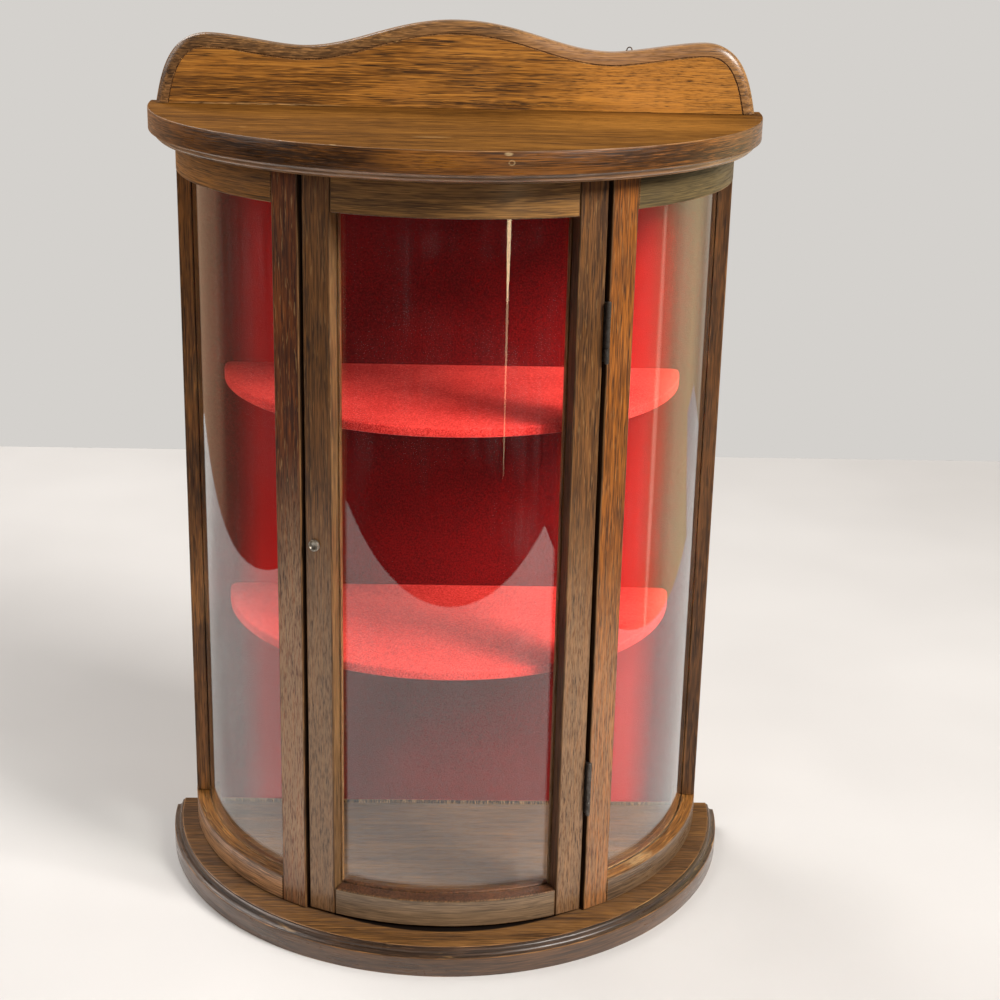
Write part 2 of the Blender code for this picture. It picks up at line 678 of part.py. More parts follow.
def make_door_glass():
    """Bent glass in the door's rebate and the four beads that hold it from behind."""
    low = DOOR_OPENING_LOW - REBATE_WIDTH + SEAT_GAP
    high = DOOR_OPENING_HIGH + REBATE_WIDTH - SEAT_GAP
    edge = REBATE_ANGLE - GLASS_EDGE_GAP / DOOR_GLASS_OUTER
    profile = [
        (DOOR_GLASS_INNER, low),
        (DOOR_GLASS_OUTER, low),
        (DOOR_GLASS_OUTER, high),
        (DOOR_GLASS_INNER, high),
    ]
    pieces = [curved_piece("door_glass", profile, -edge, edge, GLASS)]

    bead_front = DOOR_GLASS_INNER - SEAT_GAP
    bead_edge = REBATE_ANGLE - SEAT_GAP / DOOR_INNER
    bead_inner = STILE_INNER_ANGLE
    for side, sign in (("left", -1), ("right", 1)):
        outline = [
            polar(bead_front, bead_inner),
            polar(bead_front, bead_edge),
            on_flat(DOOR_INNER, bead_edge, STILE_ANGLE),
            on_flat(DOOR_INNER, bead_inner, STILE_ANGLE),
        ]
        mirrored = [(sign * x, y) for x, y in outline]
        pieces.append(upright_prism(f"door_{side}_glass_bead", mirrored, low, high, DOOR_OAK))
    end = bead_inner - SEAT_GAP / DOOR_INNER
    for where, bead_low, bead_high in (
        ("top", DOOR_OPENING_HIGH, high),
        ("bottom", low, DOOR_OPENING_LOW),
    ):
        profile = [
            (DOOR_INNER, bead_low),
            (bead_front, bead_low),
            (bead_front, bead_high),
            (DOOR_INNER, bead_high),
        ]
        pieces.append(curved_piece(f"door_{where}_glass_bead", profile, -end, end, DOOR_OAK))
    return pieces


def hinge_frame(height):
    """Matrix of a hinge at its middle: local X across the gap to the post, local Y into the gap."""
    x, y = polar(HINGE_RADIUS, HINGE_ANGLE)
    return Matrix.Translation((x, y, height)) @ Matrix.Rotation(HINGE_ANGLE, 4, "Z")


def hinge_leaf_outline(sign):
    """Section of a leaf: its knuckle and the plate that runs from it into the gap."""
    near = SEAT_GAP / 2
    far = near + HINGE_LEAF_THICKNESS
    start = acos(far / KNUCKLE_RADIUS)
    turn = start + 2 * pi - acos(near / KNUCKLE_RADIUS)
    angles = [start - turn * i / KNUCKLE_FACETS for i in range(KNUCKLE_FACETS + 1)]
    knuckle = [(KNUCKLE_RADIUS * cos(a), KNUCKLE_RADIUS * sin(a)) for a in angles]
    outline = [(far, HINGE_LEAF_WIDTH), *knuckle, (near, HINGE_LEAF_WIDTH)]
    return [(sign * x, y) for x, y in outline]


def hinge_leaf(name, frame, sign, notches):
    """One leaf, notched where the other has its knuckles; sign is 1 on the post and -1 on the door."""
    curve = flat_outline(name, HINGE_LENGTH)
    add_poly_spline(curve, hinge_leaf_outline(sign))
    bore = HINGE_PIN_RADIUS + PIN_GAP
    angles = [2 * pi * i / KNUCKLE_FACETS for i in range(KNUCKLE_FACETS)]
    add_poly_spline(curve, [(bore * cos(a), bore * sin(a)) for a in angles])
    leaf = place(name, finish_mesh(name, outline_body(curve)), DARK_STEEL)
    leaf.matrix_world = frame
    for i, (low, high) in enumerate(notches):
        notch_size = (4 * KNUCKLE_RADIUS, 2 * KNUCKLE_REACH, high - low)
        notch_place = Matrix.Translation((0.0, 0.0, (low + high) / 2))
        cut([leaf], box(f"{name}_notch_{i}", notch_size, DARK_STEEL, frame @ notch_place, CUTTERS))
    return leaf


def hinge_pin(name, frame):
    half = HINGE_LENGTH / 2
    rim = HINGE_PIN_RADIUS + HINGE_PIN_HEAD
    head_low = half + PIN_GAP
    head_high = head_low + HINGE_PIN_HEAD
    upper = [
        (0.0, head_high),
        (rim - HINGE_PIN_HEAD / 2, head_high),
        (rim, head_low + HINGE_PIN_HEAD / 2),
        (rim, head_low),
        (HINGE_PIN_RADIUS, head_low),
    ]
    profile = upper + [(r, -h) for r, h in reversed(upper)]
    return turned(name, profile, KNUCKLE_FACETS, DARK_STEEL, frame)


def make_hinge(level, height, post, stile):
    """Butt hinge with a long middle knuckle on the door; returns the pieces that swing."""
    frame = hinge_frame(height)
    half = HINGE_LENGTH / 2
    quarter = HINGE_LENGTH / 4
    outer = quarter + KNUCKLE_GAP / 2
    inner = quarter - KNUCKLE_GAP / 2
    beyond = half + KNUCKLE_GAP
    post_leaf = hinge_leaf(level + "_hinge_post_leaf", frame, 1, [(-outer, outer)])
    door_leaf = hinge_leaf(level + "_hinge_door_leaf", frame, -1, [(-beyond, -inner), (inner, beyond)])
    hinge_pin(level + "_hinge_pin", frame)
    swinging = [door_leaf]
    inset = KNUCKLE_REACH + (HINGE_LEAF_WIDTH - KNUCKLE_REACH) / 2
    for leaf, host, sign, word in ((post_leaf, post, 1, "post"), (door_leaf, stile, -1, "door")):
        for where, z in (("lower", -HINGE_SCREW_SPACING / 2), ("upper", HINGE_SCREW_SPACING / 2)):
            head = frame @ Vector((sign * SEAT_GAP / 2, inset, z))
            outward = frame.to_3x3() @ Vector((-sign, 0.0, 0.0))
            name = f"{level}_hinge_{word}_screw_{where}"
            screw = wood_screw(name, HINGE_SCREW, head, outward, [leaf, host])
            if sign < 0:
                swinging.append(screw)
    return swinging


def make_pull(stile):
    """Round metal stud with a cupped head, let into the left stile."""
    angle = DOOR_HALF_ANGLE - PULL_FROM_EDGE / DOOR_RADIUS
    x, y = on_flat(DOOR_RADIUS, angle, STILE_ANGLE)
    matrix = facing((-x, y, PULL_HEIGHT), (-sin(STILE_ANGLE), -cos(STILE_ANGLE), 0.0))
    cup = PULL_HEAD_RADIUS - PULL_RIM
    floor = PULL_HEAD_HEIGHT - PULL_RECESS
    profile = [
        (0.0, floor),
        (cup, floor + PULL_EASING),
        (cup + PULL_EASING, PULL_HEAD_HEIGHT),
        (PULL_HEAD_RADIUS - PULL_EASING, PULL_HEAD_HEIGHT),
        (PULL_HEAD_RADIUS, PULL_HEAD_HEIGHT - 2 * PULL_EASING),
        (PULL_HEAD_RADIUS, SEAT_GAP),
        (PULL_SHANK_RADIUS, SEAT_GAP),
        (PULL_SHANK_RADIUS, PULL_SHANK_RADIUS - PULL_SHANK_LENGTH),
        (0.0, -PULL_SHANK_LENGTH),
    ]
    hole_radius = PULL_SHANK_RADIUS + SCREW_GAP
    hole_profile = [
        (0.0, PULL_HEAD_HEIGHT),
        (hole_radius, PULL_HEAD_HEIGHT),
        (hole_radius, PULL_SHANK_RADIUS - PULL_SHANK_LENGTH),
        (0.0, -PULL_SHANK_LENGTH - SCREW_GAP),
    ]
    cut([stile], turned("pull_hole", hole_profile, KNUCKLE_FACETS, SCREW_STEEL, matrix, CUTTERS))
    return turned("door_pull_stud", profile, KNUCKLE_FACETS, SCREW_STEEL, matrix)


def make_catch(top_board, door_top_rail):
    """Magnetic catch under the top board and its strike plate on the door; returns what swings."""
    turn = Matrix.Rotation(CATCH_ANGLE, 4, "Z")
    sagitta = DOOR_INNER - sqrt(DOOR_INNER**2 - (STRIKE_WIDTH / 2) ** 2)
    strike_back = DOOR_INNER - sagitta - SEAT_GAP
    strike_front = strike_back - STRIKE_THICKNESS
    strike_high = DOOR_HIGH - SEAT_GAP
    strike_middle = strike_high - STRIKE_HEIGHT / 2
    x, y = polar((strike_back + strike_front) / 2, CATCH_ANGLE)
    strike = box(
        "catch_strike_plate",
        (STRIKE_WIDTH, STRIKE_THICKNESS, STRIKE_HEIGHT),
        SCREW_STEEL,
        Matrix.Translation((x, y, strike_middle)) @ turn,
    )
    inward = (-sin(CATCH_ANGLE), cos(CATCH_ANGLE), 0.0)
    x, y = polar(strike_front, CATCH_ANGLE)
    head = (x, y, strike_middle)
    strike_screw = wood_screw("catch_strike_screw", STRIKE_SCREW, head, inward, [strike, door_top_rail])

    catch_front = strike_front - CATCH_PLAY
    catch_high = TOP_UNDERSIDE - SEAT_GAP
    x, y = polar(catch_front - CATCH_DEPTH / 2, CATCH_ANGLE)
    catch_place = Matrix.Translation((x, y, catch_high - CATCH_HEIGHT / 2)) @ turn
    catch = box("door_catch", (CATCH_WIDTH, CATCH_DEPTH, CATCH_HEIGHT), CATCH_PLASTIC, catch_place)
    for where, offset in (("left", -CATCH_SCREW_SPACING / 2), ("right", CATCH_SCREW_SPACING / 2)):
        head = catch_place @ Vector((offset, 0.0, -CATCH_HEIGHT / 2))
        wood_screw(f"catch_screw_{where}", CATCH_SCREW, head, (0.0, 0.0, -1.0), [catch, top_board])
    return [strike, strike_screw]


def wire_points():
    """Route of the hanging wire, wound round both hanger screws and curled above the right one."""
    reach = HANGER_SCREW[2] + SEAT_GAP + WIRE_RADIUS
    first = CREST_BACK + SEAT_GAP + WIRE_RADIUS
    height = CREST_LOW + HANGER_HEIGHT
    winding = []
    for i in range(WIRE_FACETS + 1):
        left_over = 1 - i / WIRE_FACETS
        angle = -pi / 2 - 2 * pi * WIRE_TURNS * left_over
        depth = first + WIRE_PITCH * WIRE_TURNS * left_over
        winding.append((angle, depth))
    left = [(-HANGER_X + reach * cos(a), depth, height + reach * sin(a)) for a, depth in winding]
    run = []
    for i in range(1, WIRE_RUN_STEPS):
        share = i / WIRE_RUN_STEPS
        sag = 4 * WIRE_SAG * share * (1 - share)
        run.append((HANGER_X * (2 * share - 1), first, height - reach - sag))
    right = [(HANGER_X - reach * cos(a), depth, height + reach * sin(a)) for a, depth in reversed(winding)]
    tail_x, depth, tail_low = right[-1]
    tail_high = CREST_LOW + CREST_SADDLE + WIRE_TAIL_RISE
    tail = []
    for i in range(1, WIRE_TAIL_STEPS + 1):
        share = i / WIRE_TAIL_STEPS
        tail.append((tail_x + WIRE_TAIL_LEAN * share**3, depth, tail_low + (tail_high - tail_low) * share))
    curl = []
    curl_x = tail_x + WIRE_TAIL_LEAN + WIRE_CURL_RADIUS
    for i in range(1, WIRE_RUN_STEPS + 1):
        angle = pi - WIRE_CURL_TURN * i / WIRE_RUN_STEPS
        x = curl_x + WIRE_CURL_RADIUS * cos(angle)
        z = tail_high + WIRE_CURL_RADIUS * sin(angle)
        curl.append((x, depth, z))
    return left + run + right + tail + curl


def least_gap_to_itself(points):
    """Smallest clear distance between stretches of the wire that lie apart along its route."""
    places = [Vector(point) for point in points]
    along = [0.0]
    for before, after in zip(places, places[1:]):
        along.append(along[-1] + (after - before).length)
    apart = 4 * HANGER_SCREW[2]
    gaps = []
    for i, first in enumerate(places):
        for j in range(i):
            if along[i] - along[j] > apart:
                gaps.append((first - places[j]).length - 2 * WIRE_RADIUS)
    return min(gaps)


def make_hanger(crest):
    """Two pan-head screws in the back of the crest and the wire strung between them."""
    stand = CREST_WALL_GAP - HANGER_SCREW[1] - SEAT_GAP
    height = CREST_LOW + HANGER_HEIGHT
    for side, sign in (("left", -1), ("right", 1)):
        seat = (sign * HANGER_X, CREST_BACK + stand, height)
        wood_screw(side + "_hanger_screw", HANGER_SCREW, seat, (0.0, 1.0, 0.0), [crest], pan=True)
    curve = bpy.data.curves.new("hanging_wire", "CURVE")
    curve.dimensions = "3D"
    curve.bevel_depth = WIRE_RADIUS
    curve.bevel_resolution = 1
    curve.use_fill_caps = True
    spline = curve.splines.new("POLY")
    points = wire_points()
    print(f"hanging_wire: least gap to itself {1000 * least_gap_to_itself(points):.2f} mm")
    spline.points.add(len(points) - 1)
    for point, place_on_route in zip(spline.points, points):
        point.co = (*place_on_route, 1.0)
    curve.materials.append(SCREW_STEEL)
    PARTS.objects.link(bpy.data.objects.new("hanging_wire", curve))


def hang_door(pieces):
    """Parents the swinging pieces to an empty on the hinge axis."""
    x, y = polar(HINGE_RADIUS, HINGE_ANGLE)
    axis = bpy.data.objects.new("door_hinge_axis", None)
    axis.location = (x, y, (DOOR_LOW + DOOR_HIGH) / 2)
    PARTS.objects.link(axis)
    bpy.context.view_layer.update()
    for piece in pieces:
        piece.parent = axis
        piece.matrix_parent_inverse = axis.matrix_world.inverted()


def main():
    top_board = make_boards()
    crest = make_crest(top_board)
    make_side("left", -1)
    right_post = make_side("right", 1)
    panel, lining = make_back()
    make_shelf("upper", UPPER_SHELF_HEIGHT, panel, lining)
    make_shelf("lower", LOWER_SHELF_HEIGHT, panel, lining)
    left_stile = make_stile("left", -1)
    right_stile = make_stile("right", 1)
    door_rails = make_door_rails()
    door = [left_stile, right_stile, *door_rails, *make_door_glass()]
    door += make_hinge("upper", UPPER_HINGE_HEIGHT, right_post, right_stile)
    door += make_hinge("lower", LOWER_HINGE_HEIGHT, right_post, right_stile)
    door.append(make_pull(left_stile))
    door += make_catch(top_board, door_rails[0])
    make_hanger(crest)
    hang_door(door)


main()
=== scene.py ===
"""Look of the half-round wall curio cabinet: stained oak, bent glass, red felt and dull metal fittings.

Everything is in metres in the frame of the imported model: front towards -Y, wall at +Y, +Z up.
"""

import json
from math import acos, atan, atan2, cos, pi, radians, sin, sqrt

import bmesh
import bpy
from mathutils import Matrix, Vector
from mathutils.geometry import interpolate_bezier

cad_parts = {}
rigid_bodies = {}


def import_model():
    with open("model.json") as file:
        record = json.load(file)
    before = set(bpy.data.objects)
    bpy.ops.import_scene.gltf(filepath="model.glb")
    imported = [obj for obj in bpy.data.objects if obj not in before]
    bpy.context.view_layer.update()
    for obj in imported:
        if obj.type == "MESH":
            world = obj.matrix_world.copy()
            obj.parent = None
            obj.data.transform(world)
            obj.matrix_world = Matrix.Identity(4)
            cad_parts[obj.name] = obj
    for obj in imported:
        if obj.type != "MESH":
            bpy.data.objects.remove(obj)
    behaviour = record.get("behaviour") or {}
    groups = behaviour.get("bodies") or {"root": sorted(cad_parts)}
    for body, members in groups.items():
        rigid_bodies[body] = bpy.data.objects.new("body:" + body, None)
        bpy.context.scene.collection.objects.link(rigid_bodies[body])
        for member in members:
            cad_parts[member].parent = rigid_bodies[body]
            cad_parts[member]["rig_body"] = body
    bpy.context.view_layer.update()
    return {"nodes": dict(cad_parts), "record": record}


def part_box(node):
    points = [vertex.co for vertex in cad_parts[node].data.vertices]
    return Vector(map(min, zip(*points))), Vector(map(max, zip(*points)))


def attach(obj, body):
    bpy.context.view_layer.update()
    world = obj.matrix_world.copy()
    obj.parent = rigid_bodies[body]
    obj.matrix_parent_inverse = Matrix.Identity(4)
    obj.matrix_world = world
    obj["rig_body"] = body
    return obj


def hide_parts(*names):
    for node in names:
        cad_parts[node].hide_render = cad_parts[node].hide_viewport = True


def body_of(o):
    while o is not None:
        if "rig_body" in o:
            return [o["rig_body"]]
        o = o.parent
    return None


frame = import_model()

# Photograph: focal length in pixels of a 1000 x 1000 frame, camera place and angles
PHOTO_SIZE = 1000
FOCAL_PIXELS = 1851.76
CAMERA_PLACE = Vector((-0.00093, -1.17886, 0.70920))
CAMERA_PITCH = radians(18.996)
CAMERA_YAW = radians(1.650)
CAMERA_ROLL = radians(1.354)
SENSOR_WIDTH = 36.0
CLIP_START = 0.02

LEVEL_SHARE = cos(CAMERA_PITCH)
CAMERA_FORWARD = Vector((sin(CAMERA_YAW) * LEVEL_SHARE, cos(CAMERA_YAW) * LEVEL_SHARE, -sin(CAMERA_PITCH)))
CAMERA_LEVEL = Vector((cos(CAMERA_YAW), -sin(CAMERA_YAW), 0.0))
CAMERA_ABOVE = CAMERA_LEVEL.cross(CAMERA_FORWARD)
CAMERA_RIGHT = cos(CAMERA_ROLL) * CAMERA_LEVEL + sin(CAMERA_ROLL) * CAMERA_ABOVE
CAMERA_UP = cos(CAMERA_ROLL) * CAMERA_ABOVE - sin(CAMERA_ROLL) * CAMERA_LEVEL

# Boards
BASE_LOW, BASE_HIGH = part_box("base_board")
TOP_LOW, TOP_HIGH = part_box("top_board")
BOARD_RADIUS = BASE_HIGH.x
BACK_Y = BASE_HIGH.y
BASE_DEPTH = BACK_Y - BASE_LOW.y
TOP_DEPTH = BACK_Y - TOP_LOW.y
EDGE_SHOULDER = 0.0014
EDGE_COVE = 0.0026
EDGE_BEAD = 0.0020
EDGE_FILLET = 0.0010
EDGE_EASE = 0.0005
EDGE_ROUND = 0.3 * EDGE_EASE

# Crest
CREST_LOW_CORNER, CREST_HIGH_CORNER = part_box("crest_rail")
CREST_END = CREST_HIGH_CORNER.x
CREST_FOOT = CREST_LOW_CORNER.z
CREST_FRONT = CREST_LOW_CORNER.y
CREST_BACK = CREST_HIGH_CORNER.y
CREST_PEAK = CREST_HIGH_CORNER.z - CREST_FOOT
CREST_END_LEAN = 0.0036
CREST_END_RISE = 0.0183
CREST_EAR = 0.0458
CREST_SADDLE = 0.0387
CREST_EAR_FROM_END = 0.035
CREST_SADDLE_FROM_END = 0.099
CREST_EAR_REACH = 0.026
CREST_DIP_REACH = 0.0173
CREST_SADDLE_REACH = 0.0347
CREST_PEAK_REACH = 0.0434
CREST_ROUNDING = 0.0045
CREST_BEAD_WIDTH = 0.0078
QUIRK_WIDTH = 0.0010
QUIRK_DEPTH = 0.0005

# Curved walls about one upright axis behind the wall plane
CENTRE_Y = BACK_Y + 0.0065
CARCASS_RADIUS = 0.1915
RAIL_INNER = 0.1745
SIDE_GLASS_OUTER = 0.1815
GLASS_THICKNESS = 0.0025
GLASS_GROOVE = 0.004
LIFT_OUT_GROOVE = 0.010
POST_WIDTH = 0.020
REAR_POST_DEPTH = 0.016
REAR_POST_INSET = 0.0002
FRAME_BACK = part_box("left_rear_post")[1].y
LEDGE_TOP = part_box("left_bottom_rail")[1].z
SEAT_GAP = 0.0003
GROOVE_OUTER = SIDE_GLASS_OUTER + SEAT_GAP
GROOVE_INNER = SIDE_GLASS_OUTER - GLASS_THICKNESS - SEAT_GAP

# Door
DOOR_RADIUS = 0.190
DOOR_INNER = 0.173
DOOR_GLASS_OUTER = 0.1795
DOOR_REBATE = DOOR_GLASS_OUTER + SEAT_GAP
DOOR_BEAD_FRONT = DOOR_GLASS_OUTER - GLASS_THICKNESS - SEAT_GAP
DOOR_HALF_ANGLE = radians(29.5)
DOOR_GAP = 0.0024
STILE_WIDTH = 0.0195
REBATE_WIDTH = 0.007
GLASS_EDGE_GAP = 0.0012
PULL_FROM_EDGE = 0.007
PULL_RADIUS = 0.0039
PULL_HEIGHT = 0.0022
PULL_CUP = PULL_RADIUS - 0.0012
PULL_SHANK = 0.0018

# Hinges
KNUCKLE_RADIUS = 0.0016
KNUCKLE_BORE = 0.0009
KNUCKLE_EASE = 0.0002
KNUCKLE_GAP = 0.0004
LEAF_WIDTH = 0.013
LEAF_THICKNESS = 0.0007
TONGUE_START = 0.0012
TONGUE_END = KNUCKLE_RADIUS + 0.0005
HINGE_AXIS = Vector(frame["record"]["behaviour"]["joints"][0]["pos_m"])

# Felt over the shelves
FELT_ROLL = 0.0016
FELT_CUT = 0.0003
SHELF_CORNER = 0.0055

# Hanging wire, wound round two screws behind the crest, with its end curled above the right saddle
HANGER_SPACING = 0.214
HANGER_HEIGHT = 0.018
HANGER_SHANK = 0.0011
WIRE_RADIUS = 0.0004
WIRE_PITCH = 0.00125
WIRE_TURNS = 1.25
WIRE_SAG = 0.006
WIRE_CURL_RADIUS = 0.0017
WIRE_CURL_TURN = radians(310)
WIRE_TAIL_RISE = 0.0010
WIRE_TAIL_LEAN = 0.006

# Angles worked out from the sizes above
POST_HALF_ANGLE = atan(POST_WIDTH / 2 / CARCASS_RADIUS)
GAP_ANGLE = DOOR_GAP / CARCASS_RADIUS
POST_INNER_ANGLE = DOOR_HALF_ANGLE + GAP_ANGLE
POST_ANGLE = POST_INNER_ANGLE + POST_HALF_ANGLE
POST_OUTER_ANGLE = POST_ANGLE + POST_HALF_ANGLE
GROOVE_ANGLE = POST_OUTER_ANGLE - GLASS_GROOVE / SIDE_GLASS_OUTER
STILE_HALF_ANGLE = atan(STILE_WIDTH / 2 / DOOR_RADIUS)
STILE_ANGLE = DOOR_HALF_ANGLE - STILE_HALF_ANGLE
STILE_INNER_ANGLE = STILE_ANGLE - STILE_HALF_ANGLE
REBATE_ANGLE = STILE_INNER_ANGLE + REBATE_WIDTH / DOOR_GLASS_OUTER
DOOR_RAIL_ANGLE = STILE_INNER_ANGLE - SEAT_GAP / DOOR_INNER
HINGE_ANGLE = POST_INNER_ANGLE - GAP_ANGLE / 2

# Fineness of the visible shapes, and how far their sharp edges are eased
ARC_STEP = radians(1.2)
GLASS_STEP = radians(0.5)
SMOOTH_LIMIT = radians(35)
EDGE_STEPS = 8
ROUND_SIDES = 32
EASE_SEGMENTS = 2
FRAME_EASE = 0.0008
LOW_RAIL_EASE = 0.0007
SLIM_EASE = 0.0006
SHEET_EASE = 0.0003

SIDES = (("left", -1), ("right", 1))
UP = Vector((0.0, 0.0, 1.0))
FRONT = Vector((0.0, -1.0, 0.0))


def line_of_sight(x, y):
    """Direction from the camera through a photograph pixel."""
    across = (x - PHOTO_SIZE / 2) / FOCAL_PIXELS
    down = (y - PHOTO_SIZE / 2) / FOCAL_PIXELS
    return CAMERA_FORWARD + across * CAMERA_RIGHT - down * CAMERA_UP


def seen_on_flat(x, y, point, normal):
    """Place where the line of sight through a photograph pixel meets a plane."""
    sight = line_of_sight(x, y)
    reach = (Vector(point) - CAMERA_PLACE).dot(normal) / sight.dot(normal)
    return CAMERA_PLACE + reach * sight


def seen_on_round(x, y, radius, axis_y):
    """Place where the line of sight through a photograph pixel first meets an upright cylinder."""
    sight = line_of_sight(x, y)
    start = CAMERA_PLACE.xy - Vector((0.0, axis_y))
    square = sight.xy.dot(sight.xy)
    half = start.dot(sight.xy)
    reach = (-half - sqrt(half**2 - square * (start.dot(start) - radius**2))) / square
    return CAMERA_PLACE + reach * sight


def srgb(red, green, blue):
    """Linear colour from the 0 to 255 values of a screen colour."""

    def linear(value):
        share = value / 255
        return share / 12.92 if share <= 0.04045 else ((share + 0.055) / 1.055) ** 2.4

    return linear(red), linear(green), linear(blue), 1.0


def scaled(color, share):
    """Colour made darker or lighter."""
    return tuple(min(1.0, share * channel) for channel in color[:3]) + (1.0,)


class Tree:
    """Shader nodes of a material or a world, with short calls for those that both use."""

    def __init__(self, owner):
        owner.use_nodes = True
        self.tree = owner.node_tree

    def put(self, socket, value):
        if isinstance(value, bpy.types.NodeSocket):
            self.tree.links.new(value, socket)
        else:
            socket.default_value = value

    def add(self, kind, inputs, **settings):
        node = self.tree.nodes.new("ShaderNode" + kind)
        for name, value in settings.items():
            setattr(node, name, value)
        for key, value in inputs.items():
            self.put(node.inputs[key], value)
        return node

    def math(self, operation, a, b=0.0):
        return self.add("Math", {0: a, 1: b}, operation=operation).outputs[0]

    def times(self, a, b):
        return self.math("MULTIPLY", a, b)

    def between(self, value, low, high, to_low=0.0, to_high=1.0):
        inputs = {0: value, 1: low, 2: high, 3: to_low, 4: to_high}
        return self.add("MapRange", inputs, clamp=True).outputs[0]

    def ramp(self, value, stops):
        node = self.add("ValToRGB", {0: value})
        ends = node.color_ramp.elements
        while len(ends) < len(stops):
            ends.new(0.5)
        for end, (position, color) in zip(ends, stops):
            end.position = position
            end.color = color
        return node.outputs[0]

    def mix(self, share, a, b):
        return self.add("Mix", {0: share, 6: a, 7: b}, data_type="RGBA").outputs[2]


class Finish(Tree):
    """Nodes of one material, with short calls for those that the materials share."""

    def __init__(self, name):
        self.material = bpy.data.materials.new(name)
        super().__init__(self.material)
        self.shader = self.tree.nodes["Principled BSDF"]

    def set(self, **inputs):
        for name, value in inputs.items():
            self.put(self.shader.inputs[name.replace("_", " ")], value)

    def place(self):
        return self.add("TexCoord", {}).outputs["Object"]

    def vector(self, operation, a, b):
        return self.add("VectorMath", {0: a, 1: b}, operation=operation).outputs[0]

    def length(self, vector):
        return self.add("VectorMath", {0: vector}, operation="LENGTH").outputs["Value"]

    def weighted(self, *parts):
        """Sum of (value, weight) pairs."""
        products = [self.times(value, weight) for value, weight in parts]
        total = products[0]
        for product in products[1:]:
            total = self.math("ADD", total, product)
        return total

    def noise(self, at, stretch, detail=2.0, roughness=0.5, distortion=0.0):
        """Noise with a scale in repeats per metre, alike all round or along each of the place's directions."""
        if not isinstance(stretch, tuple):
            stretch = (stretch, stretch, stretch)
        inputs = {"Vector": self.vector("MULTIPLY", at, stretch), "Scale": 1.0, "Detail": detail}
        inputs |= {"Roughness": roughness, "Distortion": distortion}
        return self.add("TexNoise", inputs).outputs["Fac"]

    def bump(self, height, strength, distance):
        inputs = {"Strength": strength, "Distance": distance, "Height": height}
        return self.add("Bump", inputs).outputs[0]

    def spot(self, at, middle, radii, hollow):
        """1 inside an ellipsoid round a place, fading to 0 at its edge, or only in its rind if it is hollow."""
        length = self.length(self.vector("DIVIDE", self.vector("SUBTRACT", at, middle), radii))
        if not hollow:
            return self.between(length, 1.0, 0.5)
        edge = (1 - hollow) / 5
        inside = self.between(length, 1.0, 1 - edge)
        return self.times(inside, self.between(length, hollow, hollow + edge))


def grain_place(nodes, axis):
    """Place with its first direction along the grain (X, Z, or round the curved walls' axis), and the plain place."""
    place = nodes.place()
    parts = nodes.add("SeparateXYZ", {0: place}).outputs
    if axis == "x":
        return place, place
    if axis == "z":
        along, across, deep = parts[2], parts[0], parts[1]
    else:
        ahead = nodes.math("SUBTRACT", CENTRE_Y, parts[1])
        along = nodes.times(nodes.math("ARCTAN2", parts[0], ahead), CARCASS_RADIUS)
        across = parts[2]
        deep = nodes.length(nodes.add("CombineXYZ", {0: parts[0], 1: ahead}).outputs[0])
    return nodes.add("CombineXYZ", {0: along, 1: across, 2: deep}).outputs[0], place


# Oak grain as noise: repeats per metre along and across the grain, detail and distortion
PATCHES = (6.0, 38.0, 3.0, 0.4)
BANDS = (13.0, 330.0, 3.0, 0.2)
STREAKS = (28.0, 760.0, 2.0, 0.2)
PORES = (56.0, 1000.0, 1.0, 0.2)
FIBRES = (64.0, 1150.0, 1.0, 0.0)
FLECKS = (75.0, 620.0, 2.0, 0.0)
GRAIN_ROUGHNESS = 0.6

# Wear, as repeats per metre along and across the grain
RUBBED = (18.0, 110.0, 110.0)
BROKEN = (150.0, 1300.0, 1300.0)

# Colours of marks in the varnish, and of painted shadow, shade and highlight
RAW_OAK = srgb(196, 152, 96)
PALE_CHIP = srgb(214, 184, 134)
# Dark colour for real dark stains and for painted shade
DARK_STAIN_AND_SHADE = srgb(40, 24, 12)
HONEY = srgb(190, 122, 44)
PALE_HONEY = srgb(216, 146, 62)
# Dark colour of the painted shadow under the door
SHADED_OAK = srgb(18, 11, 7)
# Grey that the floor inside the cabinet is painted towards
INNER_FLOOR_GREY = srgb(96, 92, 92)
# Pale pink of a painted highlight
PAINTED_PINK_HIGHLIGHT = srgb(186, 142, 112)
# Pale tone that the lower posts and door stiles are painted towards
PALE_LOW_TONE = srgb(186, 146, 106)


